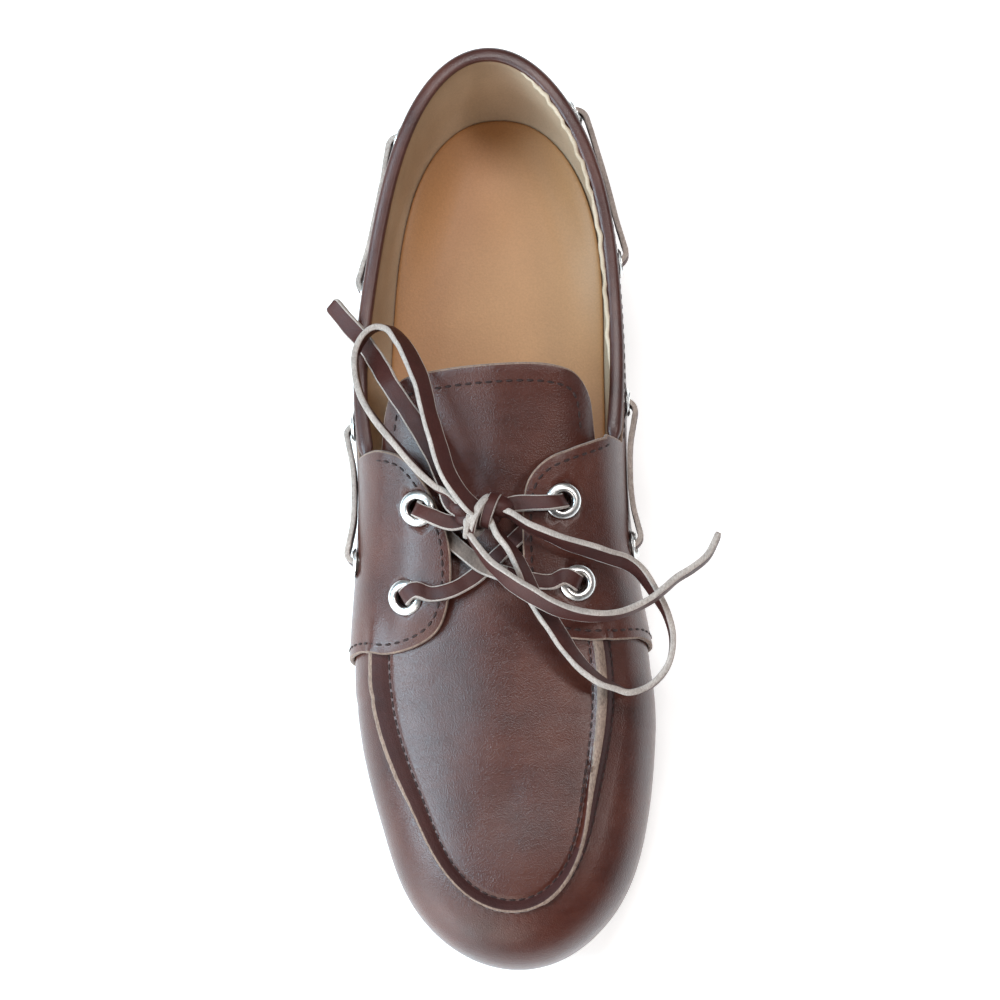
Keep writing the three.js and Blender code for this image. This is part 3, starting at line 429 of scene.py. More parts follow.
def unroll_tables():
    grid = last_point(UNROLL_U[:, None] + 0 * UNROLL_PHI[None], UNROLL_PHI[None] + 0 * UNROLL_U[:, None])
    steps = np.linalg.norm(np.diff(grid, axis=1), axis=2)
    return np.concatenate([np.zeros((len(UNROLL_U), 1)), np.cumsum(steps, axis=1)], axis=1)


UNROLL_LENGTH = unroll_tables()


def unroll(u, phi):
    """Flat coordinates of surface points."""
    u = np.asarray(u, float)
    i = np.clip(u / UNROLL_U[1], 0, len(UNROLL_U) - 1.000001)
    low = i.astype(int)
    weight = i - low
    first = np.array([np.interp(p, UNROLL_PHI, UNROLL_LENGTH[k]) for p, k in zip(phi, low)])
    second = np.array([np.interp(p, UNROLL_PHI, UNROLL_LENGTH[k + 1]) for p, k in zip(phi, low)])
    return np.stack([u * UNROLL_RADIUS, first * (1 - weight) + second * weight], -1)


def roll_up(flat):
    """The angles of flat points, the reverse of unroll."""
    u = flat[:, 0] / UNROLL_RADIUS
    i = np.clip(u / UNROLL_U[1], 0, len(UNROLL_U) - 1.000001)
    low = i.astype(int)
    weight = i - low
    phi = np.empty(len(u))
    for n, (k, w, s) in enumerate(zip(low, weight, flat[:, 1])):
        phi[n] = np.interp(s, UNROLL_LENGTH[k] * (1 - w) + UNROLL_LENGTH[k + 1] * w, UNROLL_PHI)
    return u, phi


# Mesh making

def new_mesh(name, points, faces, materials, face_materials=None):
    """A smooth mesh object in metres from points in millimetres."""
    mesh = bpy.data.meshes.new(name)
    mesh.from_pydata((np.asarray(points) * MM).tolist(), [], faces)
    for material in materials:
        mesh.materials.append(material)
    if face_materials is not None:
        mesh.polygons.foreach_set("material_index", face_materials)
    mesh.polygons.foreach_set("use_smooth", [True] * len(faces))
    mesh.validate()
    mesh.update()
    piece = bpy.data.objects.new(name, mesh)
    bpy.context.scene.collection.objects.link(piece)
    return piece


def finish_piece(piece, slot, *nodes):
    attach(piece, "root")
    if nodes:
        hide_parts(*nodes)
    return piece


def grid_faces(rows, columns, first=0, closed=False, flip=False):
    """Quads of a grid of points held row by row. closed joins the last column to the first."""
    faces = []
    for r in range(rows - 1):
        for c in range(columns if closed else columns - 1):
            a = first + r * columns + c
            b = first + r * columns + (c + 1) % columns
            quad = (a, b, b + columns, a + columns)
            faces.append(quad[::-1] if flip else quad)
    return faces


def catmull_rom(points, steps, tension=0.5):
    """Centripetal Catmull-Rom curve through points, sampled evenly in its parameter."""
    p = np.asarray(points, float)
    p = np.vstack([2 * p[0] - p[1], p, 2 * p[-1] - p[-2]])
    out = []
    for s in np.linspace(0, len(points) - 1, steps + 1):
        i = min(int(s), len(points) - 2)
        t = s - i
        p0, p1, p2, p3 = p[i:i + 4]
        d = [max(np.linalg.norm(b - a) ** tension, 1e-4) for a, b in ((p0, p1), (p1, p2), (p2, p3))]
        t1 = ((p1 - p0) / d[0] - (p2 - p0) / (d[0] + d[1]) + (p2 - p1) / d[1]) * d[1]
        t2 = ((p2 - p1) / d[1] - (p3 - p1) / (d[1] + d[2]) + (p3 - p2) / d[2]) * d[1]
        a = 2 * p1 - 2 * p2 + t1 + t2
        b = -3 * p1 + 3 * p2 - 2 * t1 - t2
        out.append(((a * t + b) * t + t1) * t + p1)
    return np.array(out)


def resample(line, spacing, closed=False):
    """The line at even distances of about the spacing."""
    line = np.asarray(line, float)
    if closed:
        line = np.vstack([line, line[:1]])
    lengths = np.concatenate([[0], np.cumsum(np.linalg.norm(np.diff(line, axis=0), axis=1))])
    count = max(int(round(lengths[-1] / spacing)), 2)
    at = np.linspace(0, lengths[-1], count + 1)
    if closed:
        at = at[:-1]
    return np.stack([np.interp(at, lengths, line[:, k]) for k in range(line.shape[1])], -1)


def inset_loop(loop, distance):
    """The closed anticlockwise loop moved inwards."""
    before = np.roll(loop, 1, axis=0)
    after = np.roll(loop, -1, axis=0)
    tangent = unit(after - before)
    return loop + np.stack([-tangent[:, 1], tangent[:, 0]], -1) * distance


def inset_line(line, distance):
    """An open line moved to its left."""
    tangent = unit(np.gradient(line, axis=0))
    return line + np.stack([-tangent[:, 1], tangent[:, 0]], -1) * distance


def inside(points, loop):
    """Which points lie in the closed loop."""
    result = np.zeros(len(points), bool)
    x, y = points[:, 0], points[:, 1]
    for (x1, y1), (x2, y2) in zip(loop, np.roll(loop, -1, axis=0)):
        crosses = (y1 > y) != (y2 > y)
        if y1 != y2:
            result ^= crosses & (x < (x2 - x1) * (y - y1) / (y2 - y1) + x1)
    return result


def nearest(points, line):
    """Distance from each point to the closest of the line's points."""
    best = np.full(len(points), 1e9)
    for start in range(0, len(line), 64):
        part = line[start:start + 64]
        best = np.minimum(best, np.linalg.norm(points[:, None] - part[None], axis=2).min(axis=1))
    return best


HOLE_SIDES = 24


def fill_loop(loop, holes, spacing):
    """Triangles inside an anticlockwise loop, with round holes left open."""
    low, high = loop.min(axis=0), loop.max(axis=0)
    rows = []
    for k, y in enumerate(np.arange(low[1], high[1], spacing * 0.866)):
        xs = np.arange(low[0] + (k % 2) * spacing / 2, high[0], spacing)
        rows.append(np.stack([xs, np.full(len(xs), y)], -1))
    seeds = np.vstack(rows)
    seeds = seeds[inside(seeds, loop)]
    rings = [loop]
    for centre, radius in holes:
        turn = np.linspace(0, 2 * math.pi, HOLE_SIDES, endpoint=False)
        ring = centre + radius * np.stack([np.cos(turn), np.sin(turn)], -1)
        rings.append(ring)
        seeds = seeds[np.linalg.norm(seeds - centre, axis=1) > radius + spacing * 0.4]
    for ring in rings:
        seeds = seeds[nearest(seeds, ring) > spacing * 0.55]
    points = np.vstack([*rings, seeds])
    edges = []
    start = 0
    for ring in rings:
        n = len(ring)
        edges += [(start + i, start + (i + 1) % n) for i in range(n)]
        start += n
    out_points, _, faces, origin, _, _ = delaunay_2d_cdt([Vector(p) for p in points], edges, [], 0, 1e-6)
    kept = []
    out = np.array([tuple(p) for p in out_points])
    centres = np.array([out[list(f)].mean(axis=0) for f in faces])
    good = inside(centres, loop)
    for centre, radius in holes:
        good &= np.linalg.norm(centres - centre, axis=1) > radius
    for face, keep in zip(faces, good):
        if keep:
            a, b, c = (out[v] for v in face[:3])
            area = (b[0] - a[0]) * (c[1] - a[1]) - (b[1] - a[1]) * (c[0] - a[0])
            if abs(area) > 1e-7:
                kept.append(tuple(face) if area > 0 else tuple(face)[::-1])
    first_origin = [o[0] if o else -1 for o in origin]
    return out, kept, first_origin


# How a cut leather edge rounds off: distance inwards and share of the thickness below the top
EDGE_ROWS = [(0.42, 0.0), (0.14, 0.06), (0.0, 0.28), (0.0, 0.72), (0.14, 0.95)]


def leather_sheet(name, loop, to_angles, top, thickness, spacing, materials, holes=()):
    """A sheet of leather over the last: grain side up, raw cut edge all round.

    loop is its anticlockwise outline in flat coordinates, to_angles turns flat points into
    (u, phi), and top(u, phi) gives the height of its upper face.
    """
    rings = [inset_loop(loop, distance) for distance, _ in EDGE_ROWS]
    flat, faces, origin = fill_loop(rings[0], holes, spacing)
    u, phi = to_angles(flat)
    height = top(u, phi)
    upper = place(u, phi, height)
    lower = place(u, phi, height - thickness)
    n = len(flat)
    points = [upper, lower]
    all_faces = list(faces) + [tuple(n + v for v in face[::-1]) for face in faces]
    kinds = [0] * len(faces) + [2] * len(faces)
    found = {o: i for i, o in enumerate(origin) if o >= 0}
    first_ring = [found[k] for k in range(len(loop))]
    previous = first_ring
    start = 2 * n
    for ring, (_, share) in zip(rings[1:], EDGE_ROWS[1:]):
        ring_u, ring_phi = to_angles(ring)
        points.append(place(ring_u, ring_phi, top(ring_u, ring_phi) - share * thickness))
        current = [start + k for k in range(len(loop))]
        all_faces += join_rings(previous, current)
        kinds += [1] * len(loop)
        previous = current
        start += len(loop)
    all_faces += join_rings(previous, [n + k for k in first_ring])
    kinds += [1] * len(loop)
    for h in range(len(holes)):
        first = len(loop) + h * HOLE_SIDES
        rim = [found[first + k] for k in range(HOLE_SIDES)]
        all_faces += [face[::-1] for face in join_rings(rim, [n + v for v in rim])]
        kinds += [1] * HOLE_SIDES
    return new_mesh(name, np.vstack(points), all_faces, materials, kinds)


def join_rings(upper, lower):
    count = len(upper)
    return [(upper[i], lower[i], lower[(i + 1) % count], upper[(i + 1) % count]) for i in range(count)]


def stitch_shape():
    """One stitch lying along x: points and faces of a plump capsule of length and width 1."""
    points = [(-0.5, 0, 0)]
    stations = [(-0.42, 0.55), (-0.2, 0.95), (0.2, 0.95), (0.42, 0.55)]
    sides = 6
    for x, r in stations:
        for k in range(sides):
            turn = 2 * math.pi * k / sides
            points.append((x, r * math.cos(turn) / 2, r * math.sin(turn) / 2))
    points.append((0.5, 0, 0))
    faces = [(0, 1 + (k + 1) % sides, 1 + k) for k in range(sides)]
    faces += grid_faces(len(stations), sides, 1, closed=True)
    last = len(points) - 1
    faces += [(last, last - sides + k, last - sides + (k + 1) % sides) for k in range(sides)]
    return np.array(points), faces


def stitches(name, rows, material, pitch=STITCH_PITCH, length=STITCH_LENGTH, width=STITCH_WIDTH):
    """Rows of thread. Each row is a pair of lines: points on the leather and their normals."""
    shape, shape_faces = stitch_shape()
    points = []
    faces = []
    for line, normals in rows:
        both = resample(np.hstack([line, normals]), pitch)
        line, normals = both[:, :3], both[:, 3:]
        for i in range(len(line) - 1):
            middle = (line[i] + line[i + 1]) / 2
            along = unit(line[i + 1] - line[i])
            up = unit(normals[i] - along * (normals[i] @ along))
            across = np.cross(up, along)
            basis = np.stack([along * length, across * width, up * width * 0.8])
            faces += [tuple(len(points) * len(shape) + v for v in face) for face in shape_faces]
            points.append(middle + shape @ basis)
    return new_mesh(name, np.vstack(points), faces, [material])


# Materials

def material_base(name):
    material = bpy.data.materials.new(name)
    material.use_nodes = True
    tree = material.node_tree
    return material, tree, tree.nodes["Principled BSDF"]


def add_node(tree, kind, **values):
    node = tree.nodes.new(kind)
    for key, value in values.items():
        if key in node.inputs:
            node.inputs[key].default_value = value
        else:
            setattr(node, key, value)
    return node


def noise(tree, coords, per_mm, detail=3.0, roughness=0.5, stretch=(1, 1, 1)):
    mapping = add_node(tree, "ShaderNodeMapping")
    mapping.inputs["Scale"].default_value = [s * per_mm / MM for s in stretch]
    tree.links.new(coords, mapping.inputs["Vector"])
    texture = add_node(tree, "ShaderNodeTexNoise", Scale=1.0, Detail=detail, Roughness=roughness)
    tree.links.new(mapping.outputs["Vector"], texture.inputs["Vector"])
    return texture.outputs["Fac"]


def cells(tree, coords, per_mm, feature="F1"):
    mapping = add_node(tree, "ShaderNodeMapping")
    mapping.inputs["Scale"].default_value = [per_mm / MM] * 3
    tree.links.new(coords, mapping.inputs["Vector"])
    texture = add_node(tree, "ShaderNodeTexVoronoi", Scale=1.0)
    texture.feature = feature
    tree.links.new(mapping.outputs["Vector"], texture.inputs["Vector"])
    return texture.outputs["Distance"]


def ramp(tree, factor, stops):
    node = add_node(tree, "ShaderNodeValToRGB")
    elements = node.color_ramp.elements
    while len(elements) < len(stops):
        elements.new(0.5)
    for element, (position, color) in zip(elements, stops):
        element.position = position
        element.color = (*color, 1) if len(color) == 3 else color
    tree.links.new(factor, node.inputs["Fac"])
    return node.outputs["Color"]


def grey(value):
    return (value, value, value)


def mix_color(tree, factor, first, second, mode="MIX"):
    node = add_node(tree, "ShaderNodeMix")
    node.data_type = "RGBA"
    node.blend_type = mode
    if isinstance(factor, float):
        node.inputs["Factor"].default_value = factor
    else:
        tree.links.new(factor, node.inputs["Factor"])
    for value, socket in ((first, node.inputs["A"]), (second, node.inputs["B"])):
        if isinstance(value, tuple):
            socket.default_value = (*value, 1)
        else:
            tree.links.new(value, socket)
    return node.outputs["Result"]


def bumps(tree, shader, layers):
    """Chained bumps: each layer is (height socket, strength, depth in millimetres)."""
    normal = None
    for height, strength, depth in layers:
        node = add_node(tree, "ShaderNodeBump", Strength=strength, Distance=depth * MM)
        tree.links.new(height, node.inputs["Height"])
        if normal is not None:
            tree.links.new(normal, node.inputs["Normal"])
        normal = node.outputs["Normal"]
    tree.links.new(normal, shader.inputs["Normal"])


def leather(name, deep, body, light, roughness, coat, grain, specular=0.5):
    """Oiled smooth leather: cloudy colour, fine pebble, hair pores and a soft wax coat."""
    material, tree, shader = material_base(name)
    coords = add_node(tree, "ShaderNodeTexCoord").outputs["Object"]
    clouds = noise(tree, coords, 0.045, 4, 0.6)
    streaks = noise(tree, coords, 0.32, 5, 0.65, (0.5, 1.9, 1))
    fine = noise(tree, coords, 2.4, 2, 0.6)
    tone = ramp(tree, clouds, [(0.22, deep), (0.5, body), (0.80, light)])
    worn = ramp(tree, streaks, [(0.30, grey(0.90)), (0.60, grey(1.0)), (0.80, grey(1.08))])
    speckle = ramp(tree, fine, [(0.32, grey(0.82)), (0.62, grey(1.05))])
    color = mix_color(tree, 1.0, tone, worn, "MULTIPLY")
    color = mix_color(tree, 0.7, color, speckle, "MULTIPLY")
    tree.links.new(color, shader.inputs["Base Color"])
    rough = ramp(tree, streaks, [(0.3, grey(roughness - 0.05)), (0.75, grey(roughness + 0.07))])
    tree.links.new(rough, shader.inputs["Roughness"])
    shader.inputs["Specular IOR Level"].default_value = specular
    shader.inputs["Coat Weight"].default_value = coat
    shader.inputs["Coat Roughness"].default_value = 0.3
    pebble = cells(tree, coords, 2.5)
    pores = ramp(tree, cells(tree, coords, 0.95, "SMOOTH_F1"), [(0.0, grey(0.0)), (0.16, grey(1.0))])
    bumps(tree, shader, [
        (noise(tree, coords, 0.10, 3, 0.5), 0.30, 0.45 * grain),
        (streaks, 0.20, 0.12 * grain),
        (pores, 0.20, 0.06 * grain),
        (pebble, 0.45, 0.13 * grain),
        (fine, 0.50, 0.10 * grain),
    ])
    return material


def raw_leather(name, dark, light, per_mm=1.8):
    """Cut edge or flesh side: pale loose fibres."""
    material, tree, shader = material_base(name)
    coords = add_node(tree, "ShaderNodeTexCoord").outputs["Object"]
    fibres = noise(tree, coords, per_mm, 5, 0.7, (1, 0.45, 1.6))
    patches = noise(tree, coords, 0.2, 3, 0.6)
    color = mix_color(tree, 1.0, ramp(tree, fibres, [(0.3, dark), (0.7, light)]),
                      ramp(tree, patches, [(0.3, grey(0.78)), (0.7, grey(1.1))]), "MULTIPLY")
    tree.links.new(color, shader.inputs["Base Color"])
    shader.inputs["Roughness"].default_value = 0.85
    shader.inputs["Sheen Weight"].default_value = 0.25
    shader.inputs["Sheen Roughness"].default_value = 0.5
    bumps(tree, shader, [(fibres, 0.7, 0.22), (patches, 0.3, 0.3)])
    return material


def plain_leather(name, dark, light, roughness):
    """Matt lining or footbed leather with a very fine grain and soft cloudy colour."""
    material, tree, shader = material_base(name)
    coords = add_node(tree, "ShaderNodeTexCoord").outputs["Object"]
    clouds = noise(tree, coords, 0.03, 3, 0.5)
    fine = noise(tree, coords, 1.6, 4, 0.6)
    color = mix_color(tree, 1.0, ramp(tree, clouds, [(0.3, dark), (0.7, light)]),
                      ramp(tree, fine, [(0.3, grey(0.9)), (0.7, grey(1.05))]), "MULTIPLY")
    tree.links.new(color, shader.inputs["Base Color"])
    shader.inputs["Roughness"].default_value = roughness
    bumps(tree, shader, [(cells(tree, coords, 1.5), 0.3, 0.08), (fine, 0.3, 0.08), (clouds, 0.3, 0.6)])
    return material


def thread_material(name, dark, light):
    material, tree, shader = material_base(name)
    coords = add_node(tree, "ShaderNodeTexCoord").outputs["Object"]
    twist = add_node(tree, "ShaderNodeTexWave", Scale=2.2 / MM, Distortion=1.5)
    twist.bands_direction = "DIAGONAL"
    tree.links.new(coords, twist.inputs["Vector"])
    color = ramp(tree, twist.outputs["Fac"], [(0.2, dark), (0.8, light)])
    tree.links.new(color, shader.inputs["Base Color"])
    shader.inputs["Roughness"].default_value = 0.6
    bumps(tree, shader, [(twist.outputs["Fac"], 0.6, 0.12)])
    return material


def metal_material(name):
    material, tree, shader = material_base(name)
    coords = add_node(tree, "ShaderNodeTexCoord").outputs["Object"]
    scratches = noise(tree, coords, 0.9, 4, 0.6, (1, 4, 1))
    color = ramp(tree, scratches, [(0.3, (0.84, 0.84, 0.82)), (0.7, (0.95, 0.95, 0.94))])
    tree.links.new(color, shader.inputs["Base Color"])
    shader.inputs["Metallic"].default_value = 1.0
    rough = ramp(tree, scratches, [(0.3, grey(0.27)), (0.7, grey(0.38))])
    tree.links.new(rough, shader.inputs["Roughness"])
    bumps(tree, shader, [(scratches, 0.05, 0.02)])
    return material


def rubber_material(name):
    material, tree, shader = material_base(name)
    coords = add_node(tree, "ShaderNodeTexCoord").outputs["Object"]
    fine = noise(tree, coords, 1.2, 4, 0.6)
    scuffs = noise(tree, coords, 0.08, 4, 0.65)
    worn = ramp(tree, scuffs, [(0.3, (0.020, 0.011, 0.009)), (0.75, (0.045, 0.027, 0.022))])
    speckles = ramp(tree, fine, [(0.3, grey(0.85)), (0.7, grey(1.15))])
    color = mix_color(tree, 1.0, worn, speckles, "MULTIPLY")
    tree.links.new(color, shader.inputs["Base Color"])
    rough = ramp(tree, scuffs, [(0.3, grey(0.5)), (0.7, grey(0.68))])
    tree.links.new(rough, shader.inputs["Roughness"])
    bumps(tree, shader, [(fine, 0.35, 0.1)])
    return material


GRAIN = leather(
    "grain_leather", (0.038, 0.0074, 0.0046), (0.071, 0.0148, 0.0082), (0.108, 0.0275, 0.0145),
    0.33, 0.30, 1.35,
)
ROLL_GRAIN = leather(
    "roll_leather", (0.040, 0.0115, 0.0095), (0.074, 0.021, 0.0155), (0.115, 0.038, 0.026), 0.38, 0.2, 0.8,
)
LACE_GRAIN = leather(
    "lace_leather", (0.032, 0.009, 0.008), (0.060, 0.016, 0.013), (0.088, 0.026, 0.020), 0.5, 0.0, 0.7, 0.3,
)
# Matt copy of the grain leather for the seam's flanks, which turn away from the main light: its darker colour
# is painted shade
SHADED_BAND_GRAIN = leather(
    "seam_band_painted_shade", (0.030, 0.0085, 0.0080), (0.052, 0.0145, 0.0125), (0.078, 0.024, 0.019), 0.6, 0.0, 1.2, 0.3,
)
RAW_EDGE = raw_leather("raw_edge", (0.14, 0.080, 0.058), (0.38, 0.262, 0.20))
LACE_EDGE = raw_leather("lace_edge", (0.30, 0.235, 0.205), (0.60, 0.52, 0.47), 2.4)
FLESH = raw_leather("flesh_side", (0.12, 0.085, 0.068), (0.25, 0.185, 0.155))
LINING = plain_leather("lining", (0.46, 0.335, 0.225), (0.62, 0.48, 0.345), 0.7)
LINING_EDGE = plain_leather("lining_edge", (0.50, 0.385, 0.275), (0.68, 0.555, 0.42), 0.8)
FOOTBED = plain_leather("footbed", (0.44, 0.215, 0.088), (0.49, 0.245, 0.102), 0.5)
THREAD = thread_material("thread", (0.018, 0.007, 0.006), (0.05, 0.02, 0.017))
METAL = metal_material("eyelet_metal")
RUBBER = rubber_material("sole_rubber")


# Camera, floor and light

PHOTO_FOCUS_PX = 2776.0
PHOTO_SIZE_PX = 1000.0
SENSOR = 36.0
CAMERA_PLACE = np.array([50.5, -201.96, 797.7])
CAMERA_AIM = np.array([-1.0, 4.2, 28.0])


def make_camera():
    camera = bpy.data.cameras.new("camera")
    camera.sensor_width = SENSOR
    camera.lens = PHOTO_FOCUS_PX / PHOTO_SIZE_PX * SENSOR
    camera.clip_start = 0.05
    camera.clip_end = 20
    holder = bpy.data.objects.new("camera", camera)
    bpy.context.scene.collection.objects.link(holder)
    holder.location = Vector(CAMERA_PLACE * MM)
    back = unit(CAMERA_PLACE - CAMERA_AIM)
    right = unit(np.cross([0.0, 1.0, 0.0], back))
    rotation = np.stack([right, np.cross(back, right), back], -1)
    holder.rotation_euler = Matrix(rotation.tolist()).to_euler()
    bpy.context.scene.camera = holder


# Softboxes: name, place, aim and size in metres, power in watts, colour
LIGHTS = [
    ("window_left", (-0.80, -0.16, 0.82), (0, -0.03, 0.03), (0.45, 0.8), 14.5, (0.62, 0.86, 1.0)),
    ("low_left", (-0.85, -0.80, 0.27), (0, -0.05, 0.03), (0.8, 0.45), 6.5, (0.88, 0.95, 1.0)),
    ("fill_right", (0.60, -0.10, 0.98), (0, 0, 0.03), (0.10, 0.20), 2.5, (1.0, 0.93, 0.90)),
    ("back", (0.06, 0.42, 1.30), (0, 0.04, 0), (0.5, 0.4), 7.8, (1.0, 1.0, 1.0)),
    ("front_soft", (-0.30, -1.0, 0.72), (0, -0.08, 0.03), (0.8, 0.5), 4.2, (1.0, 0.93, 0.87)),
]


def area_light(name, place, aim, size, power, color):
    light = bpy.data.lights.new(name, "AREA")
    light.shape = "RECTANGLE"
    light.size, light.size_y = size
    light.energy = power
    light.color = color
    holder = bpy.data.objects.new(name, light)
    bpy.context.scene.collection.objects.link(holder)
    holder.location = place
    holder.rotation_euler = (Vector(place) - Vector(aim)).to_track_quat("Z", "Y").to_euler()


def make_stage():
    """A pale floor that stays as white as the photo's ground, a dim world and the softboxes."""
    bpy.ops.mesh.primitive_plane_add(size=6)
    floor = bpy.context.object
    floor.name = "floor"
    material, _, shader = material_base("floor")
    shader.inputs["Base Color"].default_value = (0.95, 0.95, 0.95, 1)
    shader.inputs["Emission Color"].default_value = (1, 1, 1, 1)
    shader.inputs["Emission Strength"].default_value = 0.47
    shader.inputs["Roughness"].default_value = 0.9
    floor.data.materials.append(material)
    world = bpy.data.worlds.new("studio")
    world.use_nodes = True
    background = world.node_tree.nodes["Background"]
    background.inputs["Color"].default_value = (1.0, 1.0, 1.0, 1)
    background.inputs["Strength"].default_value = 0.09
    bpy.context.scene.world = world
    bpy.context.scene.view_settings.view_transform = "Standard"
    for light in LIGHTS:
        area_light(*light)


make_camera()
make_stage()


# Shared lookups on the surface of the last

def inset_of(m, phi):
    return m["span"] * (1 - np.maximum(np.cos(phi), 0) ** (2 / m["fullness"]))


def quarter_top(u, phi):
    m = meridian(u)
    inset = inset_of(m, phi)
    return QUARTER_OUTER + wing_lift(m, inset) + np.where(phi > 0, seam_profile(m, inset), 0)


def angles_under(x, y, top):
    """(u, phi) where the surface at a height function lies over the plan points."""
    x, y = np.asarray(x, float), np.asarray(y, float)
    qx, qy = x.copy(), y.copy()
    for _ in range(5):
        u, phi = angle_of_plan(qx, qy)
        found = place(u, phi, top(u, phi))
        qx += x - found[:, 0]
        qy += y - found[:, 1]
    return angle_of_plan(qx, qy)


def phi_at_height(u, z, offset):
    """The angle at which the surface at an offset reaches the height z."""
    u, z = np.broadcast_arrays(np.asarray(u, float), np.asarray(z, float))
    m = meridian(u)
    query = z.copy()
    for _ in range(6):
        phi = phi_of_height(m, query)
        query = query + z - place(u, phi, offset + 0 * u)[..., 2]
    return phi_of_height(m, query)


def collar_front_y(x):
    share = (x + HALF) / BALL_WIDTH
    return y_of(COLLAR_FRONT_LATERAL + (COLLAR_FRONT_MEDIAL - COLLAR_FRONT_LATERAL) * share)


# Strips of lace

INSIDE_KNOT = np.array([-4.0, -9.5, 62.7])

# Section of a strip: across and out, as shares of half the width and half the thickness, and the look
STRIP_SECTION = [
    (-1.00, 0.00, 1), (-1.00, -0.55, 1), (-0.95, -0.88, 1),
    (-0.84, -1.00, 2), (-0.35, -1.03, 2), (0.35, -1.03, 2),
    (0.84, -1.00, 1), (0.95, -0.88, 1), (1.00, -0.55, 1),
    (1.00, 0.00, 1), (1.00, 0.55, 1), (0.95, 0.88, 1),
    (0.84, 1.00, 0), (0.35, 1.03, 0), (-0.35, 1.03, 0),
    (-0.84, 1.00, 1), (-0.95, 0.88, 1), (-1.00, 0.55, 1),
]
LACE_LOOKS = [LACE_GRAIN, LACE_EDGE, LACE_GRAIN, FLESH]
GRAIN_LOOK = 0
EDGE_LOOK = 1
FLESH_LOOK = 3
LACE_SPACING = 0.8
LACE_SWELL = 0.4
END_TAPER = 0.86


def strip_mesh(line, across, width, thickness, rough=(1, 0), closed=False):
    """A strip of leather along a line. Between the shares in rough its flesh side shows on top."""
    n = len(line)
    if closed:
        tangent = unit(np.roll(line, -1, axis=0) - np.roll(line, 1, axis=0))
    else:
        tangent = unit(np.gradient(line, axis=0))
    across = unit(across - tangent * (across * tangent).sum(axis=1, keepdims=True))
    out = np.cross(tangent, across)
    along = np.arange(n) * LACE_SPACING
    wobble = 1 + 0.035 * np.sin(along / 3.7) + 0.02 * np.sin(along / 1.3 + 1)
    points = []
    for k, (a, b, _) in enumerate(STRIP_SECTION):
        wide = a * width / 2 * wobble
        thick = b * thickness / 2 * (1 + 0.05 * np.sin(along / 2.3 + k))
        points.append(line + across * wide[:, None] + out * thick[:, None])
    sides = len(STRIP_SECTION)
    points = np.stack(points, axis=1)
    if not closed:
        for end in (0, -1):
            points[end] = line[end] + (points[end] - line[end]) * END_TAPER
    faces = grid_faces(n, sides, 0, closed=True)
    kinds = []
    looks = [look for _, _, look in STRIP_SECTION]
    for r in range(n - 1):
        turned = rough[0] < r / (n - 1) < rough[1]
        kinds += [FLESH_LOOK if turned and look == GRAIN_LOOK else look for look in looks]
    points = points.reshape(-1, 3)
    if closed:
        last = (n - 1) * sides
        for c in range(sides):
            faces.append((last + c, last + (c + 1) % sides, (c + 1) % sides, c))
        kinds += looks
    else:
        faces.append(tuple(range(sides))[::-1])
        faces.append(tuple((n - 1) * sides + c for c in range(sides)))
        kinds += [EDGE_LOOK, EDGE_LOOK]
    return points, faces, kinds


def dense_line(stations, spacing=LACE_SPACING):
    """An even line through stations, with any further columns carried along."""
    stations = np.asarray(stations, float)
    curve = catmull_rom(stations[:, :3], 24 * len(stations))
    numbers = np.arange(len(stations))
    steps = np.linspace(0, len(stations) - 1, len(curve))
    extra = [np.interp(steps, numbers, stations[:, k]) for k in range(3, stations.shape[1])]
    if extra:
        curve = np.hstack([curve, np.stack(extra, -1)])
    return resample(curve, spacing)


# Distance in metres under which fix_normals joins points
WELD = 0.00002


def fix_normals(piece, weld=False):
    """Turn all faces outwards. weld first joins the points that meet."""
    work = bmesh.new()
    work.from_mesh(piece.data)
    if weld:
        bmesh.ops.remove_doubles(work, verts=work.verts, dist=WELD)
    bmesh.ops.recalc_face_normals(work, faces=work.faces)
    work.to_mesh(piece.data)
    work.free()
    return piece


def eyelet_place(name):
    """Point and normal of a front eyelet on its wing."""
    across, at = FRONT_EYELETS[name]
    point, normal = top_place(across, at, QUARTER_OUTER, lifted=True)
    return point[0], normal[0]


def make_crossing(lace):
    """The line of a crossing from one eyelet under the wings to the other and on into the knot."""
    start, start_up = eyelet_place(lace["from"])
    end, end_up = eyelet_place(lace["to"])
    knot_end = np.array(lace["knot_end"])
    plan = unit((end - start) * [1, 1, 0])

    def near(point, up, target, along, height):
        towards = target - point
        return point + unit(towards - up * (towards @ up)) * along + up * height

    middle = [top_place(across, at, height)[0][0] for across, at, height in lace["middle"]]
    stations = [
        near(start, start_up, end, 0, -QUARTER_THICKNESS),
        near(start, start_up, end, 0, 0.7),
        near(start, start_up, end, 1.2, 2.4),
        near(start, start_up, end, 4.4, 2.7),
        *middle,
        near(end, end_up, start, 2.6, -3.1),
        near(end, end_up, start, 0.4, -2.3),
        near(end, end_up, start, 0, -0.7),
        near(end, end_up, start, 0, 1.0),
        near(end, end_up, knot_end, 1.2, 2.6),
        near(end, end_up, knot_end, 4.4, 3.1),
        knot_end,
    ]
    stations += [knot_end + (INSIDE_KNOT - knot_end) * 0.5, INSIDE_KNOT]
    line = dense_line(stations)
    across = np.tile([-plan[1], plan[0], 0.0], (len(line), 1))
    return line, across


def join_meshes(parts):
    points, faces, kinds = [], [], []
    first = 0
    for part_points, part_faces, part_kinds in parts:
        points.append(part_points)
        faces += [tuple(first + v for v in face) for face in part_faces]
        kinds += list(part_kinds)
        first += len(part_points)
    return np.vstack(points), faces, kinds


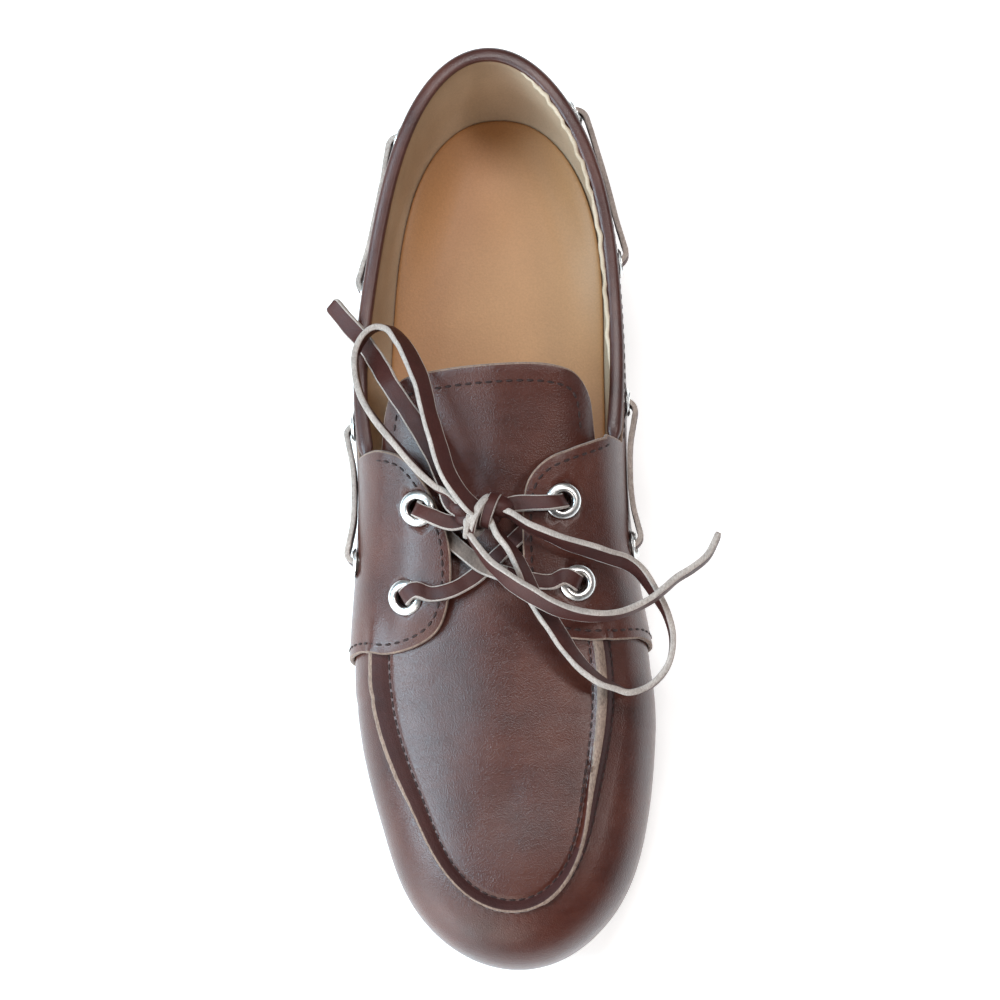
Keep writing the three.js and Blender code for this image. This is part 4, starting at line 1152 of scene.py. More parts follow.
def make_crossings():
    parts = []
    for lace in CROSSINGS:
        line, across = make_crossing(lace)
        parts.append(strip_mesh(line, across, LACE_WIDTH + LACE_SWELL, LACE_THICKNESS, lace["rough"]))
    points, faces, kinds = join_meshes(parts)
    piece = fix_normals(new_mesh("crossing_laces", points, faces, LACE_LOOKS, kinds))
    return finish_piece(piece, "lace_leather", "lace_crossing")


def make_side_lace(name, pair):
    """A stretch of lace along the wall: out of one side eyelet, close to the leather, into the next."""
    rest = QUARTER_OUTER + GAP + FLANGE_THICKNESS + GAP + LACE_THICKNESS / 2
    half = [(0, 1.6), (0, 3.8), (0.045, rest + 0.25), (0.13, rest - 0.05), (0.30, rest - 1.05)]
    rows = half + [(0.5, rest - 1.25)] + [(1 - share, offset) for share, offset in half[::-1]]
    (side, first_at, first_drop), (_, last_at, last_drop) = pair
    first_z, last_z = lace_height(first_at, first_drop), lace_height(last_at, last_drop)
    stations = []
    for share, offset in rows:
        at = first_at + (last_at - first_at) * share
        z = first_z + (last_z - first_z) * share
        stations.append(side_place(side, at, z, offset)[0][0])
    line = dense_line(stations)
    across = np.tile([0, 0, 1.0], (len(line), 1))
    points, faces, kinds = strip_mesh(line, across, LACE_WIDTH + LACE_SWELL, LACE_THICKNESS)
    piece = fix_normals(new_mesh("wall_lace_" + name, points, faces, LACE_LOOKS, kinds))
    return finish_piece(piece, "lace_leather", "side_lace_" + name)


# Hidden ends of the free lace inside the knot: x, y, z in millimetres and lean, at the start and at the end
KNOT_STARTS = {
    "lace_loop_lateral": [[-6.0, -9.2, 62.8, 0.0], [-9.6, -6.8, 65.4, 0.0]],
    "lace_loop_medial": [[-2.5, -8.6, 64.0, 0.0], [0.8, -8.4, 64.8, 0.0]],
    "lace_end_lateral": [[-5.0, -9.0, 62.6, 0.9], [-8.6, -7.9, 62.9, 0.9]],
    "lace_end_medial": [[-4.4, -9.0, 63.4, 0.0], [-7.6, -11.4, 63.8, 0.0]],
}
KNOT_FINISHES = {
    "lace_loop_lateral": [[-4.6, -9.2, 67.6, 0.6], [-4.0, -9.8, 65.0, 0.6]],
    "lace_loop_medial": [[-0.6, -11.8, 64.6, 0.0], [-2.2, -9.4, 64.2, 0.0]],
}

# How the loops splay: where along the strip, over what share, and how far the upper edge leans out
SPLAY = {
    "lace_loop_medial": [(0.24, 0.14, -0.30), (0.78, 0.16, -0.62)],
    "lace_loop_lateral": [(0.20, 0.12, -0.16)],
    "lace_end_medial": [(0.35, 0.16, -0.42)],
}

# What is on the far end of each cord
FAR_ENDS = {
    "lace_loop_lateral": "knot",
    "lace_loop_medial": "knot",
    "lace_end_lateral": "bare",
    "lace_end_medial": "bare",
}


def make_cord(name):
    """A loop or an end of the bow, and its centre line."""
    rows = np.array(CORDS[name])
    stations = np.hstack([rows[:, :3] / MM, rows[:, 3:]]).tolist()
    both = dense_line(KNOT_STARTS[name] + stations + KNOT_FINISHES.get(name, []))
    share = np.linspace(0, 1, len(both))
    for place_share, width, amount in SPLAY.get(name, []):
        both[:, 3] += amount * bump(share, place_share, width)
    line, lean = both[:, :3], both[:, 3] * math.pi / 2
    up = np.array([0, 0, 1.0])
    level = unit(np.cross(unit(np.gradient(line, axis=0)), up))
    across = up * np.cos(lean)[:, None] + level * np.sin(lean)[:, None]
    points, faces, kinds = strip_mesh(line, across, CORD_WIDTH, CORD_THICKNESS)
    piece = fix_normals(new_mesh("free_" + name, points, faces, LACE_LOOKS, kinds))
    finish_piece(piece, "lace_leather", name)
    return piece, line


# Stations of a wrap, and the sides and rows of a gathered lump
WRAP_STATIONS = 40
LUMP_SIDES = 28
LUMP_ROWS = 16


def axis_frame(axis):
    """The axis at length 1 with its level side and its upper side."""
    axis = unit(np.array(axis, float))
    side = unit(np.cross([0, 0, 1.0], axis))
    return axis, side, np.cross(axis, side)


def ring_strip(centre, axis, radii, width, thickness, tilt):
    """A closed strip wrapped around an axis through the centre."""
    axis, side, up = axis_frame(axis)
    angles = np.linspace(0, 2 * math.pi, WRAP_STATIONS, endpoint=False)
    line = centre + radii[0] * np.cos(angles)[:, None] * side + radii[1] * np.sin(angles)[:, None] * up
    line = line + axis * tilt * np.cos(angles)[:, None]
    across = np.tile(axis, (len(line), 1))
    return strip_mesh(line, across, width, thickness, closed=True)


def lump(centre, axis, size):
    """A smooth gathered mass of leather: a superellipsoid with its long way along the axis."""
    axis, side, up = axis_frame(axis)
    points = []
    for i in range(1, LUMP_ROWS):
        lat = math.pi * i / LUMP_ROWS - math.pi / 2
        for k in range(LUMP_SIDES):
            lon = 2 * math.pi * k / LUMP_SIDES
            r = math.cos(lat) ** 0.8
            fold = 1 + 0.05 * math.cos(3 * lon + 2 * lat)
            offset = axis * math.sin(lat) * size[0] / 2
            offset = offset + side * math.cos(lon) * r * size[1] / 2 * fold
            offset = offset + up * math.sin(lon) * r * size[2] / 2 * fold
            points.append(centre + offset)
    faces = grid_faces(LUMP_ROWS - 1, LUMP_SIDES, 0, closed=True)
    last = (LUMP_ROWS - 2) * LUMP_SIDES
    faces += [tuple(range(LUMP_SIDES))[::-1], tuple(last + k for k in range(LUMP_SIDES))]
    return np.array(points), faces, [GRAIN_LOOK] * len(faces)


# Gathered lumps of the knot: place from its centre, axis and size in millimetres
KNOT_LUMPS = [
    ((-0.6, 0.2, -0.2), (1, 0.02, 0), (13.0, 8.0, 8.0)),
    ((5.0, 2.0, 1.6), (1, -0.22, -0.04), (8.6, 6.2, 6.4)),
    ((-4.9, 1.8, 2.2), (1, -0.45, 0.1), (6.8, 6.0, 6.0)),
]

# Wraps of the knot: place from its centre, axis, radii, width, thickness, tilt and if it shows its cut edge
KNOT_WRAPS = [
    ((0.3, -0.5, 1.1), (0.92, -0.36, 0.16), (5.5, 4.9), 2.1, 1.7, 0.8, True),
    ((-2.6, -1.2, 0.9), (0.95, -0.20, 0.0), (4.9, 4.3), 1.5, 1.5, 0.3, True),
    ((-1.2, -0.8, 1.0), (0.93, -0.3, 0.0), (5.0, 4.4), 2.6, 1.4, -0.2, False),
    ((2.9, 0.9, 1.3), (0.95, -0.3, 0.0), (4.4, 4.0), 3.0, 1.4, 0.2, False),
]


def make_knot():
    """Lumps of gathered lace, dark wraps and pale wraps on edge over them."""
    centre = np.array(KNOT_CENTRE) / MM
    parts = [lump(centre + place_from, axis, size) for place_from, axis, size in KNOT_LUMPS]
    for place_from, axis, radii, width, thickness, tilt, pale in KNOT_WRAPS:
        points, faces, kinds = ring_strip(centre + place_from, axis, radii, width, thickness, tilt)
        parts.append((points, faces, [EDGE_LOOK] * len(faces) if pale else kinds))
    points, faces, kinds = join_meshes(parts)
    piece = fix_normals(new_mesh("bow_knot", points, faces, LACE_LOOKS, kinds))
    return finish_piece(piece, "lace_leather", "lace_knot")


def make_laces():
    make_crossings()
    for name, pair in SIDE_LACES.items():
        make_side_lace(name, pair)
    knot = make_knot()
    for name, far_end in FAR_ENDS.items():
        piece, line = make_cord(name)


# Eyelets

def eyelet_profile(rim, depth):
    """Radius and height of the metal, closed on itself."""
    bore = EYELET_BORE / 2
    barrel = bore + BARREL_WALL
    top = GAP + FLANGE_THICKNESS
    return [
        (bore, -depth), (bore, 0.35), (bore + 0.12, top - 0.28), (bore + 0.45, top - 0.04),
        (bore + 0.95, top),
        (rim - 0.9, top - 0.12), (rim - 0.35, top - 0.42), (rim - 0.04, GAP + 0.22), (rim, GAP + 0.08),
        (rim - 0.08, GAP), (rim - 0.5, GAP), (barrel + 0.1, GAP), (barrel, GAP - 0.2), (barrel, -depth),
    ]


RING_TURNS = 48
FRONT_BARREL = 1.2
SIDE_BARREL = 2.2


def make_eyelet(name, node, point, normal, rim, depth):
    """A metal ring with its barrel, turned round the normal at its point."""
    side = np.cross(normal, [0, 1.0, 0])
    side /= np.linalg.norm(side)
    other = np.cross(normal, side)
    turns = RING_TURNS
    points = []
    profile = eyelet_profile(rim, depth)
    for r, h in profile:
        for k in range(turns):
            angle = 2 * math.pi * k / turns
            points.append(point + normal * h + (side * math.cos(angle) + other * math.sin(angle)) * r)
    faces = grid_faces(len(profile), turns, 0, closed=True)
    last = (len(profile) - 1) * turns
    for k in range(turns):
        faces.append((last + k, last + (k + 1) % turns, (k + 1) % turns, k))
    piece = fix_normals(new_mesh(name, np.array(points), faces, [METAL]))
    return finish_piece(piece, "eyelet_metal", node)


def make_eyelets():
    for name in FRONT_EYELETS:
        point, normal = eyelet_place(name)
        node = "eyelet_front_" + name
        make_eyelet("ring_front_" + name, node, point, normal, FRONT_FLANGE / 2, FRONT_BARREL)
    for name, pair in SIDE_LACES.items():
        for i, (side, at, drop) in enumerate(pair):
            point, normal = side_place(side, at, lace_height(at, drop), QUARTER_OUTER)
            node = f"eyelet_side_{name}_{i + 1}"
            make_eyelet(f"ring_side_{name}_{i + 1}", node, point[0], normal[0], SIDE_FLANGE / 2, SIDE_BARREL)


# Vamp and plug

# Where the vamp and the plug end, and the rows and columns of their grid
VAMP_BACK = 0.50
PLUG_BACK = 0.436
VAMP_COLUMNS = 281
PLUG_ROWS = 36
WALL_ROWS = 22
SPINE_ROWS = 22
LOWEST_PHI = -1.35

# Rows of the seam's band, counted from its first row: its outer line, the raw crest and the flanks, which get
# a darker leather as painted shade
OUTER_ROW = 1
RAW_ROWS = (3, 5)
LATERAL_FLANK = (5, 9)
MEDIAL_FLANK = (0, 3)
LATERAL_CREASE_ROW = 10
MEDIAL_CREASE_ROW = 11
RAW_END = 0.40


def medial_share(u):
    """0 on the lateral side of the seam, 1 on the medial side, turning over round the toe."""
    turn = np.where(u > math.pi, 2 * math.pi - u, -u)
    return smoothstep(turn, 0.1, 1.0)


def seam_facts(u, m):
    """Place, width and height of the moccasin seam, and the place and half width of its crest."""
    outer = SEAM_INSET * np.where(m["lateral"], SEAM["lateral"](m["at"]), SEAM["medial"](m["at"]))
    width = SEAM_WIDTH * SEAM["width"](m["at"])
    ridge = SEAM_RIDGE * SEAM["ridge"](m["at"])
    share = medial_share(u)
    crest = 0.15 + 0.66 * share
    half_crest = (0.47 + 0.75 * share * smoothstep(m["at"], 0.08, 0.28)) / width
    return outer, width, ridge, crest, half_crest


def seam_height(u, m, inset):
    """The sewn seam: two edges stand up together, with a raw crest and a flank that slopes away."""
    outer, width, ridge, crest, half_crest = seam_facts(u, m)
    share = (inset - outer) / width
    rise = np.clip(share / np.maximum(crest - half_crest, 0.02), 0, 1) ** 0.8
    fall = 1 - np.clip((share - crest - half_crest) / np.maximum(1.0 - crest - half_crest, 0.04), 0, 1) ** 0.9
    crease = 0.35 * bump(share, 1.06, 0.12) + 0.3 * bump(share, -0.08, 0.12) * medial_share(u)
    frayed = 0.10 * np.sin(u * 211) + 0.08 * np.sin(u * 97 + 2)
    on_crest = bump(share, crest, half_crest * 1.6)
    return ridge * (np.minimum(rise, fall) * 1.05 + on_crest * frayed * 0.5 - crease)


def plug_height(u, phi, inset):
    """Height of the vamp's upper face above the last."""
    m = meridian(u)
    height = WALL + np.where(phi > 0, seam_height(u, m, inset), 0)
    at = at_of(last_point(u, phi)[..., 1])
    sink = smoothstep(at, 0.385, PLUG_BACK)
    inner = smoothstep(inset, 10, 16) * (phi > 0)
    return height + (TONGUE_TOP + 0.04 - height) * sink * inner


def vamp_grid():
    """Angles of the vamp's grid row by row, from the wall over the seam's band to the spine."""
    back = math.acos(1 - 2 * VAMP_BACK)
    u = np.linspace(-back, back, VAMP_COLUMNS) % (2 * math.pi)
    m = meridian(u)
    outer, width, _, crest, half_crest = seam_facts(u, m)
    first = phi_of_inset(m, outer - 0.12 * width)
    rows = [LOWEST_PHI + (first - LOWEST_PHI) * share for share in np.linspace(0, 1, WALL_ROWS)[:-1]]
    low, high = crest - half_crest, crest + half_crest
    band = [-0.12, 0, low * 0.5, low, crest, high]
    band += [high + (1 - high) * k for k in (0.25, 0.5, 0.75, 1.0)] + [1.08, 1.3]
    rows += [phi_of_inset(m, outer + share * width) for share in band]
    band_end = inset_of(m, rows[-1])
    for share in np.linspace(0, 1, PLUG_ROWS)[1:]:
        rows.append(phi_of_inset(m, band_end + (m["span"] - band_end) * share))
    return u, np.array(rows), WALL_ROWS - 1, WALL_ROWS - 2 + len(band)


def spine_normals(u, normals, weight):
    """Turn the normals near the spine towards one shared direction, so that both sides meet."""
    top = spine_share(meridian(u)["at"])
    step = 0.004
    rise = (SPINE["height"](top + step) - SPINE["height"](top - step)) * LAST_HEIGHT / (2 * step * LENGTH)
    shared = unit(np.stack([np.zeros_like(rise), -rise, np.ones_like(rise)], -1))
    return unit(normals + (shared - normals) * weight[..., None])


def vamp_faces(columns, count, plug_at, medial, band_first, band_last):
    """Faces of both skins of the vamp with their looks, left out under the tongue and the wings."""
    faces, kinds = [], []
    for r in range(count // columns - 1):
        row = r - band_first
        for c in range(columns - 1):
            if r >= band_last and max(plug_at[r, c], plug_at[r + 1, c], plug_at[r, c + 1]) > PLUG_BACK:
                continue
            a = r * columns + c
            quad = (a, a + 1, a + columns + 1, a + columns)
            flank = LATERAL_FLANK if medial[c] < 0.5 else MEDIAL_FLANK
            # The flanks take the darker band leather, painted shade on faces turned from the main light
            look = 3 if flank[0] <= row < flank[1] else 0
            if RAW_ROWS[0] <= row < RAW_ROWS[1] and plug_at[r, c] < RAW_END:
                look = 1
            faces += [quad, tuple(count + v for v in quad[::-1])]
            kinds += [look, 2]
    return faces, kinds


def make_vamp():
    """The vamp with its plug. Gives the lines along the seam that its stitches follow."""
    u, rows, band_first, band_last = vamp_grid()
    uu = np.broadcast_to(u, rows.shape)
    m = meridian(uu)
    inset = np.where(rows > 0, inset_of(m, rows), 0)
    base = last_point(uu, rows)
    height = plug_height(uu, rows, inset) + creases(base[..., 0], base[..., 1], base[..., 2])
    weight = np.zeros(rows.shape)
    weight[-PLUG_ROWS:] = smoothstep(np.linspace(0, 1, PLUG_ROWS), 0.25, 1.0)[:, None]
    normals = spine_normals(uu, last_normal(uu, rows), weight)
    top = base + normals * height[..., None]
    low = base + normals * np.minimum(height - 0.35, np.where(rows > 0, 0.0, 0.25))[..., None]
    columns = len(u)
    count = rows.size
    plug_at = at_of(top[..., 1])
    medial = medial_share(u)
    faces, kinds = vamp_faces(columns, count, plug_at, medial, band_first, band_last)
    points = np.vstack([top.reshape(-1, 3), low.reshape(-1, 3)])
    piece = new_mesh("vamp", points, faces, [GRAIN, RAW_EDGE, LINING, SHADED_BAND_GRAIN], kinds)
    near_spine = range(count - SPINE_ROWS * columns, count)
    close_sheet(piece, {v + skin for v in near_spine for skin in (0, count)})
    crease_row = band_first + np.where(medial > 0.4, MEDIAL_CREASE_ROW, LATERAL_CREASE_ROW)
    picked = np.arange(columns)
    crease_line = top[crease_row, picked], normals[crease_row, picked]
    outer_line = top[band_first + OUTER_ROW], normals[band_first + OUTER_ROW]
    finish_piece(piece, "upper_leather", "upper")
    return u, crease_line, outer_line, plug_at[band_first]


SPINE_PASSES = 60


def close_sheet(piece, smoothed):
    """Join the halves at the spine, soften the join and close the two skins along their open edges."""
    work = bmesh.new()
    work.from_mesh(piece.data)
    work.verts.ensure_lookup_table()
    soft = [work.verts[i] for i in smoothed if work.verts[i].link_faces]
    bmesh.ops.delete(work, geom=[v for v in work.verts if not v.link_faces], context="VERTS")
    bmesh.ops.remove_doubles(work, verts=work.verts, dist=WELD)
    soft = [v for v in soft if v.is_valid and not v.is_boundary]
    for _ in range(SPINE_PASSES):
        bmesh.ops.smooth_vert(work, verts=soft, factor=0.5, use_axis_x=True, use_axis_y=True, use_axis_z=True)
    edges = [e for e in work.edges if e.is_boundary]
    made = bmesh.ops.bridge_loops(work, edges=edges)
    for face in made["faces"]:
        face.material_index = 0
        face.smooth = True
    bmesh.ops.recalc_face_normals(work, faces=work.faces)
    work.to_mesh(piece.data)
    work.free()


# Flex creases across the vamp: at, slant, depth and half width in millimetres
FLEX_CREASES = [
    (0.300, 0.10, 0.16, 1.3),
    (0.335, -0.06, 0.20, 1.6),
    (0.268, -0.12, 0.12, 1.2),
    (0.225, 0.05, 0.10, 1.5),
]

# Shallow dents in the side walls and the toe: x, y, z, radius and depth in millimetres
WALL_DENTS = [
    (-44, -62, 26, 9, 0.55),
    (-36, -92, 24, 10, 0.45),
    (40, -70, 27, 9, 0.50),
    (22, -112, 25, 9, 0.40),
    (-6, -120, 24, 12, 0.30),
]
DENT_STRETCH = 1.5


def creases(x, y, z):
    """The soft ridge along the plug and the wear creases of the forepart, in millimetres."""
    at = at_of(y)
    top = smoothstep(z, 30, 37)
    ridge = 1.0 * bump(x, -1.5, 10) * smoothstep(at, 0.13, 0.26) * top
    flex = np.zeros_like(x)
    for place_at, slant, depth, width in FLEX_CREASES:
        line = y_of(place_at) + slant * x
        flex = flex - depth * bump(y, line, width) + 0.45 * depth * bump(y, line + 2.6 * width, 1.6 * width)
    flex = flex * (0.45 + 0.55 * np.sin(x * 0.16 + at * 25) ** 2) * smoothstep(at, 0.16, 0.24)
    dents = np.zeros_like(x)
    for cx, cy, cz, radius, depth in WALL_DENTS:
        distance = np.sqrt((x - cx) ** 2 + ((y - cy) / DENT_STRETCH) ** 2 + (z - cz) ** 2)
        dents = dents - depth * np.exp(-(distance / radius) ** 2)
    return ridge + flex + dents


# Quarters

# The seam at the heel: its angle, half the gap between the quarters as an angle
SEAM_U = math.pi + 0.052
SEAM_GAP_U = 0.0035

# Place along the shoe that limits the panels' top edge, spacing of their outline and of their inner
# points, distance of the stitches from the wing's edge, and radius of the holes for the eyelets
ROLL_START_AT = 0.56
OUTLINE_SPACING = 1.15
PANEL_SPACING = 2.2
WING_STITCH_INSET = 2.2
HOLE_RADIUS = EYELET_BORE / 2 + BARREL_WALL + 0.15


def panel_bottom(m):
    return m["feather"] + SOLE_LIP + GAP


def quarter_loop(side):
    """Flat outline of a quarter, with the flat lines of its wing's inner edge and its front edge."""
    wing = np.array(WING_LATERAL if side < 0 else WING_MEDIAL)
    points = np.stack([wing[:, 0] * HALF, y_of(wing[:, 1])], -1)
    curve = catmull_rom(points, 220)
    last = points[-1]
    steps = np.linspace(last[1], collar_front_y(last[0]) + GAP, 12)[1:]
    curve = np.vstack([curve, np.stack([np.full(len(steps), last[0]), steps], -1)])
    u, phi = angles_under(curve[:, 0], curve[:, 1], quarter_top)
    edge = unroll(u, phi)
    start_phi = phi_at_height(u[0], panel_bottom(meridian(u[0])), QUARTER_OUTER)
    front_phis = np.linspace(float(start_phi), phi[0], 40)
    plan_y = y_of(wing[0, 1])
    front_us = np.full(40, u[0])
    for _ in range(6):
        found = place(front_us, front_phis, quarter_top(front_us, front_phis))[:, 1]
        front_us = front_us + (plan_y - found) / (LENGTH / 2 * np.sin(front_us))
    front = unroll(front_us, front_phis)
    back_u = SEAM_U + side * SEAM_GAP_U
    bottom_u = np.linspace(front_us[0], back_u, 160)
    bottom = unroll(bottom_u, phi_at_height(bottom_u, panel_bottom(meridian(bottom_u)), QUARTER_OUTER))
    top_u = np.linspace(u[-1], back_u, 160)
    corner_height = TOPLINE["height"](ROLL_START_AT) * COLLAR_HEIGHT - ROLL_HEIGHT - GAP
    y = last_point(top_u, phi_at_height(top_u, corner_height, QUARTER_OUTER))[:, 1]
    top_z = TOPLINE["height"](at_of(y)) * COLLAR_HEIGHT - ROLL_HEIGHT - GAP
    top = unroll(top_u, phi_at_height(top_u, top_z, QUARTER_OUTER))
    down = np.linspace(edge[-1], top[0], 8)
    seam = np.linspace(bottom[-1], top[-1], 30)
    if side < 0:
        parts = [bottom, seam, top[::-1], down[::-1], edge[::-1], front[::-1]]
    else:
        parts = [bottom[::-1], front, edge, down, top, seam[::-1]]
    loop = np.vstack([resample(part, OUTLINE_SPACING)[:-1] for part in parts])
    return loop, edge, front


def eyelet_holes(side):
    """Flat centre and radius of each eyelet's hole in a quarter."""
    holes = []
    for across, at in FRONT_EYELETS.values():
        if across * side > 0:
            point, _ = top_place(across, at, QUARTER_OUTER, lifted=True)
            u, phi = angles_under(point[:, 0], point[:, 1], quarter_top)
            holes.append((unroll(u, phi)[0], HOLE_RADIUS))
    for pair in SIDE_LACES.values():
        for row_side, at, drop in pair:
            if row_side == side:
                around = np.array([math.acos(1 - 2 * at)])
                u = around if side < 0 else 2 * math.pi - around
                phi = phi_of_height(meridian(u), lace_height(at, drop))
                holes.append((unroll(u, phi)[0], HOLE_RADIUS))
    return holes


def smooth_line(line, times):
    line = line.copy()
    for _ in range(times):
        line[1:-1] = (line[:-2] + 2 * line[1:-1] + line[2:]) / 4
    return line


def make_quarter(side):
    """A quarter with its wing. Gives the flat line of the stitches inside the wing's edge."""
    name = "lateral" if side < 0 else "medial"
    loop, edge, front = quarter_loop(side)
    wing_line = resample(np.vstack([front[8:], edge[1:-4]]), 1.0)
    piece = leather_sheet(
        "quarter_panel_" + name, loop, roll_up, quarter_top, QUARTER_THICKNESS, PANEL_SPACING,
        [GRAIN, RAW_EDGE, LINING], eyelet_holes(side),
    )
    fix_normals(piece)
    finish_piece(piece, "upper_leather", "quarter_" + name)
    return smooth_line(inset_line(wing_line, WING_STITCH_INSET * side), 3)


# Tongue

def tongue_top(u, phi):
    """Height of the tongue's upper face: thin at its front, with two dips, a soft roof and one fold."""
    point = last_point(u, phi)
    at = at_of(point[..., 1])
    x = point[..., 0]
    front = 1 - smoothstep(at, 0.412, 0.434)
    roll_back = smoothstep(at, 0.585, 0.632)
    dip = 0.55 * bump(x, -9, 6) + 0.35 * bump(x, 10, 7)
    roof = np.sqrt((np.clip(x, -24, 24) - 0.5) ** 2 + 3.0) - 1.73
    reach = smoothstep(at, 0.44, 0.47) * (1 - smoothstep(at, 0.50, 0.55))
    fold = 0.35 * bump(x - (at - 0.5) * 30, -6.5, 1.6) * reach
    height = TONGUE_TOP - 1.1 * front + 0.5 * roll_back
    return height - 0.3 * dip * smoothstep(at, 0.44, 0.5) - 0.085 * roof - fold


TONGUE_SPACING = 2.0
TONGUE_STITCH_INSET = 4.6
TONGUE_STITCH_START = 0.56


def make_tongue():
    """The tongue. Gives the plan line of the stitches round its top."""
    outline = np.array(TONGUE)[::-1]
    loop = np.stack([outline[:, 0] * HALF, y_of(outline[:, 1])], -1)
    closed = np.vstack([loop, loop[:1]])
    loop = resample(catmull_rom(closed, 300)[:-1], 1.1, closed=True)
    piece = leather_sheet(
        "tongue_leaf", loop, lambda flat: angle_of_plan(flat[:, 0], flat[:, 1]), tongue_top, TONGUE_THICKNESS,
        TONGUE_SPACING, [GRAIN, RAW_EDGE, FLESH],
    )
    fix_normals(piece)
    finish_piece(piece, "tongue_leather", "tongue")
    inner = inset_loop(loop, TONGUE_STITCH_INSET)
    keep = at_of(inner[:, 1]) > TONGUE_STITCH_START
    row = inner[keep]
    return row[np.argsort(row[:, 0])]


# Collar

# Where the roll starts: first guess, place along the topline, depth below it and distance from the last
ROLL_GUESS_AT = 0.56
ROLL_TOPLINE_AT = 0.55
ROLL_DROP = 1.7
ROLL_OFFSET = 1.4
ROLL_SIDES = 40
ROLL_STATIONS = 300
ROLL_SPREAD = 1.16
ROLL_FULLNESS = 1.08


def collar_ends():
    """Angles where the collar roll starts, at the wings."""
    ends = []
    for side in (-1, 1):
        guess = math.acos(1 - 2 * ROLL_GUESS_AT)
        u = guess if side < 0 else 2 * math.pi - guess
        for _ in range(8):
            z = float(TOPLINE["height"](ROLL_TOPLINE_AT)) * COLLAR_HEIGHT - ROLL_DROP
            point = place(u, phi_at_height(u, z, ROLL_OFFSET), np.float64(ROLL_OFFSET))
            aim = collar_front_y(point[0]) + GAP
            u = u - side * (aim - point[1]) / (LENGTH / 2 * abs(math.sin(u)))
        ends.append(u)
    return ends


def roll_section():
    """Across (inside to outside) and up, as shares; the outer face has one sewn crease."""
    out = []
    for k in range(ROLL_SIDES):
        angle = 2 * math.pi * k / ROLL_SIDES
        a = math.copysign(abs(math.cos(angle)) ** 0.75, math.cos(angle))
        b = math.copysign(abs(math.sin(angle)) ** 0.75, math.sin(angle))
        if a > 0:
            a -= 0.30 * math.exp(-((b + 0.45) / 0.16) ** 2)
        out.append((a, b))
    return out


def make_roll():
    """The rolled collar from wing to wing, drawn in at its two ends."""
    start, end = collar_ends()
    last = ROLL_STATIONS - 1
    u = np.linspace(start, end, ROLL_STATIONS)
    y = last_point(u, phi_at_height(u, 50.0, ROLL_OFFSET + 0 * u))[:, 1]
    middle = TOPLINE["height"](at_of(y)) * COLLAR_HEIGHT - ROLL_HEIGHT / 2
    centre = (QUARTER_OUTER - ROLL_OVERHANG) / 2
    reach = (QUARTER_OUTER + ROLL_OVERHANG) / 2
    station = np.arange(ROLL_STATIONS)
    ease = 1 - 0.5 * bump(station, 0, 1.6) - 0.5 * bump(station, last, 1.6)
    columns = []
    for a, b in roll_section():
        offset = centre + a * reach * ease * ROLL_SPREAD
        z = middle + b * ROLL_HEIGHT / 2 * ease * ROLL_FULLNESS
        columns.append(place(u, phi_at_height(u, z, offset), offset))
    points = np.stack(columns, axis=1)
    sides = points.shape[1]
    faces = grid_faces(ROLL_STATIONS, sides, 0, closed=True)
    faces += [tuple(range(sides))[::-1], tuple(last * sides + c for c in range(sides))]
    piece = fix_normals(new_mesh("rolled_collar", points.reshape(-1, 3), faces, [ROLL_GRAIN]))
    return finish_piece(piece, "collar_leather", "collar_roll")


# Lining: its first angle, its columns, and the shares of its height with the last ones at its edge
LINING_START = 1.35
LINING_COLUMNS = 420
LINING_SHARES = np.concatenate([np.linspace(0, 0.90, 24), [0.925, 0.95, 0.97, 0.985, 1.0]])
LINING_EDGE_SHARE = 0.93
LINING_THICKNESS = 1.5
LINING_RISE = 2.2


def make_lining():
    """Inner skin from the footbed up to the collar, with a rough upper edge."""
    u = np.linspace(LINING_START, 2 * math.pi - LINING_START, LINING_COLUMNS)
    m = meridian(u)
    y = last_point(u, phi_of_height(m, np.minimum(50.0, m["crown"] - 4)))[:, 1]
    at = at_of(y)
    roll_low = TOPLINE["height"](at) * COLLAR_HEIGHT - ROLL_HEIGHT + 0.9
    back = smoothstep(at, 0.50, 0.58)
    top = (m["bulge"] + (m["crown"] - m["bulge"]) * 0.62) * (1 - back) + roll_low * back
    medial = smoothstep(u, math.pi + 0.1, math.pi + 0.4)
    medial = medial * (1 - smoothstep(u, 2 * math.pi - 1.95, 2 * math.pi - 1.75))
    rise = LINING_RISE + 0.35 * np.sin(u * 37 + 1) + 0.25 * np.sin(u * 91)
    top = top + (0.25 * np.sin(u * 83) + medial * rise) * back
    low = m["feather"] + GAP + 1.0
    wave = 1 + 0.12 * np.sin(u * 61) + 0.10 * np.sin(u * 113 + 1)
    inner, outer = [], []
    for share in LINING_SHARES:
        z = low + (top - low) * share
        phi = phi_of_height(m, z)
        slack = 0.35 * np.sin(u * 9 + 1) * np.sin(share * 3) * bump(share, 0.5, 0.3)
        proud = medial * smoothstep(z, roll_low - 1.6, roll_low - 0.4) * wave
        inner.append(place(u, phi, 0.25 * (share > 0.99) - slack * 0.6 - 1.5 * proud))
        outer.append(place(u, phi, LINING_THICKNESS - 1.75 * proud))
    rows = inner + outer[::-1]
    points = np.stack(rows, axis=0)
    count = len(rows)
    faces = grid_faces(count, len(u))
    for c in range(len(u) - 1):
        last = (count - 1) * len(u)
        faces.append((last + c, last + c + 1, c + 1, c))
    left = [r * len(u) for r in range(count)]
    right = [r * len(u) + len(u) - 1 for r in range(count)]
    faces += [tuple(left), tuple(right[::-1])]
    edge = [row for row, share in enumerate(LINING_SHARES) if share > LINING_EDGE_SHARE]
    raw = np.zeros((count, len(u)), bool)
    raw[edge[0]:count - edge[0]] = medial > 0.5
    raw = raw.ravel()
    kinds = [1 if all(raw[v] for v in face) else 0 for face in faces]
    piece = fix_normals(new_mesh("lining", points.reshape(-1, 3), faces, [LINING, LINING_EDGE], kinds))
    return finish_piece(piece, "lining_leather")


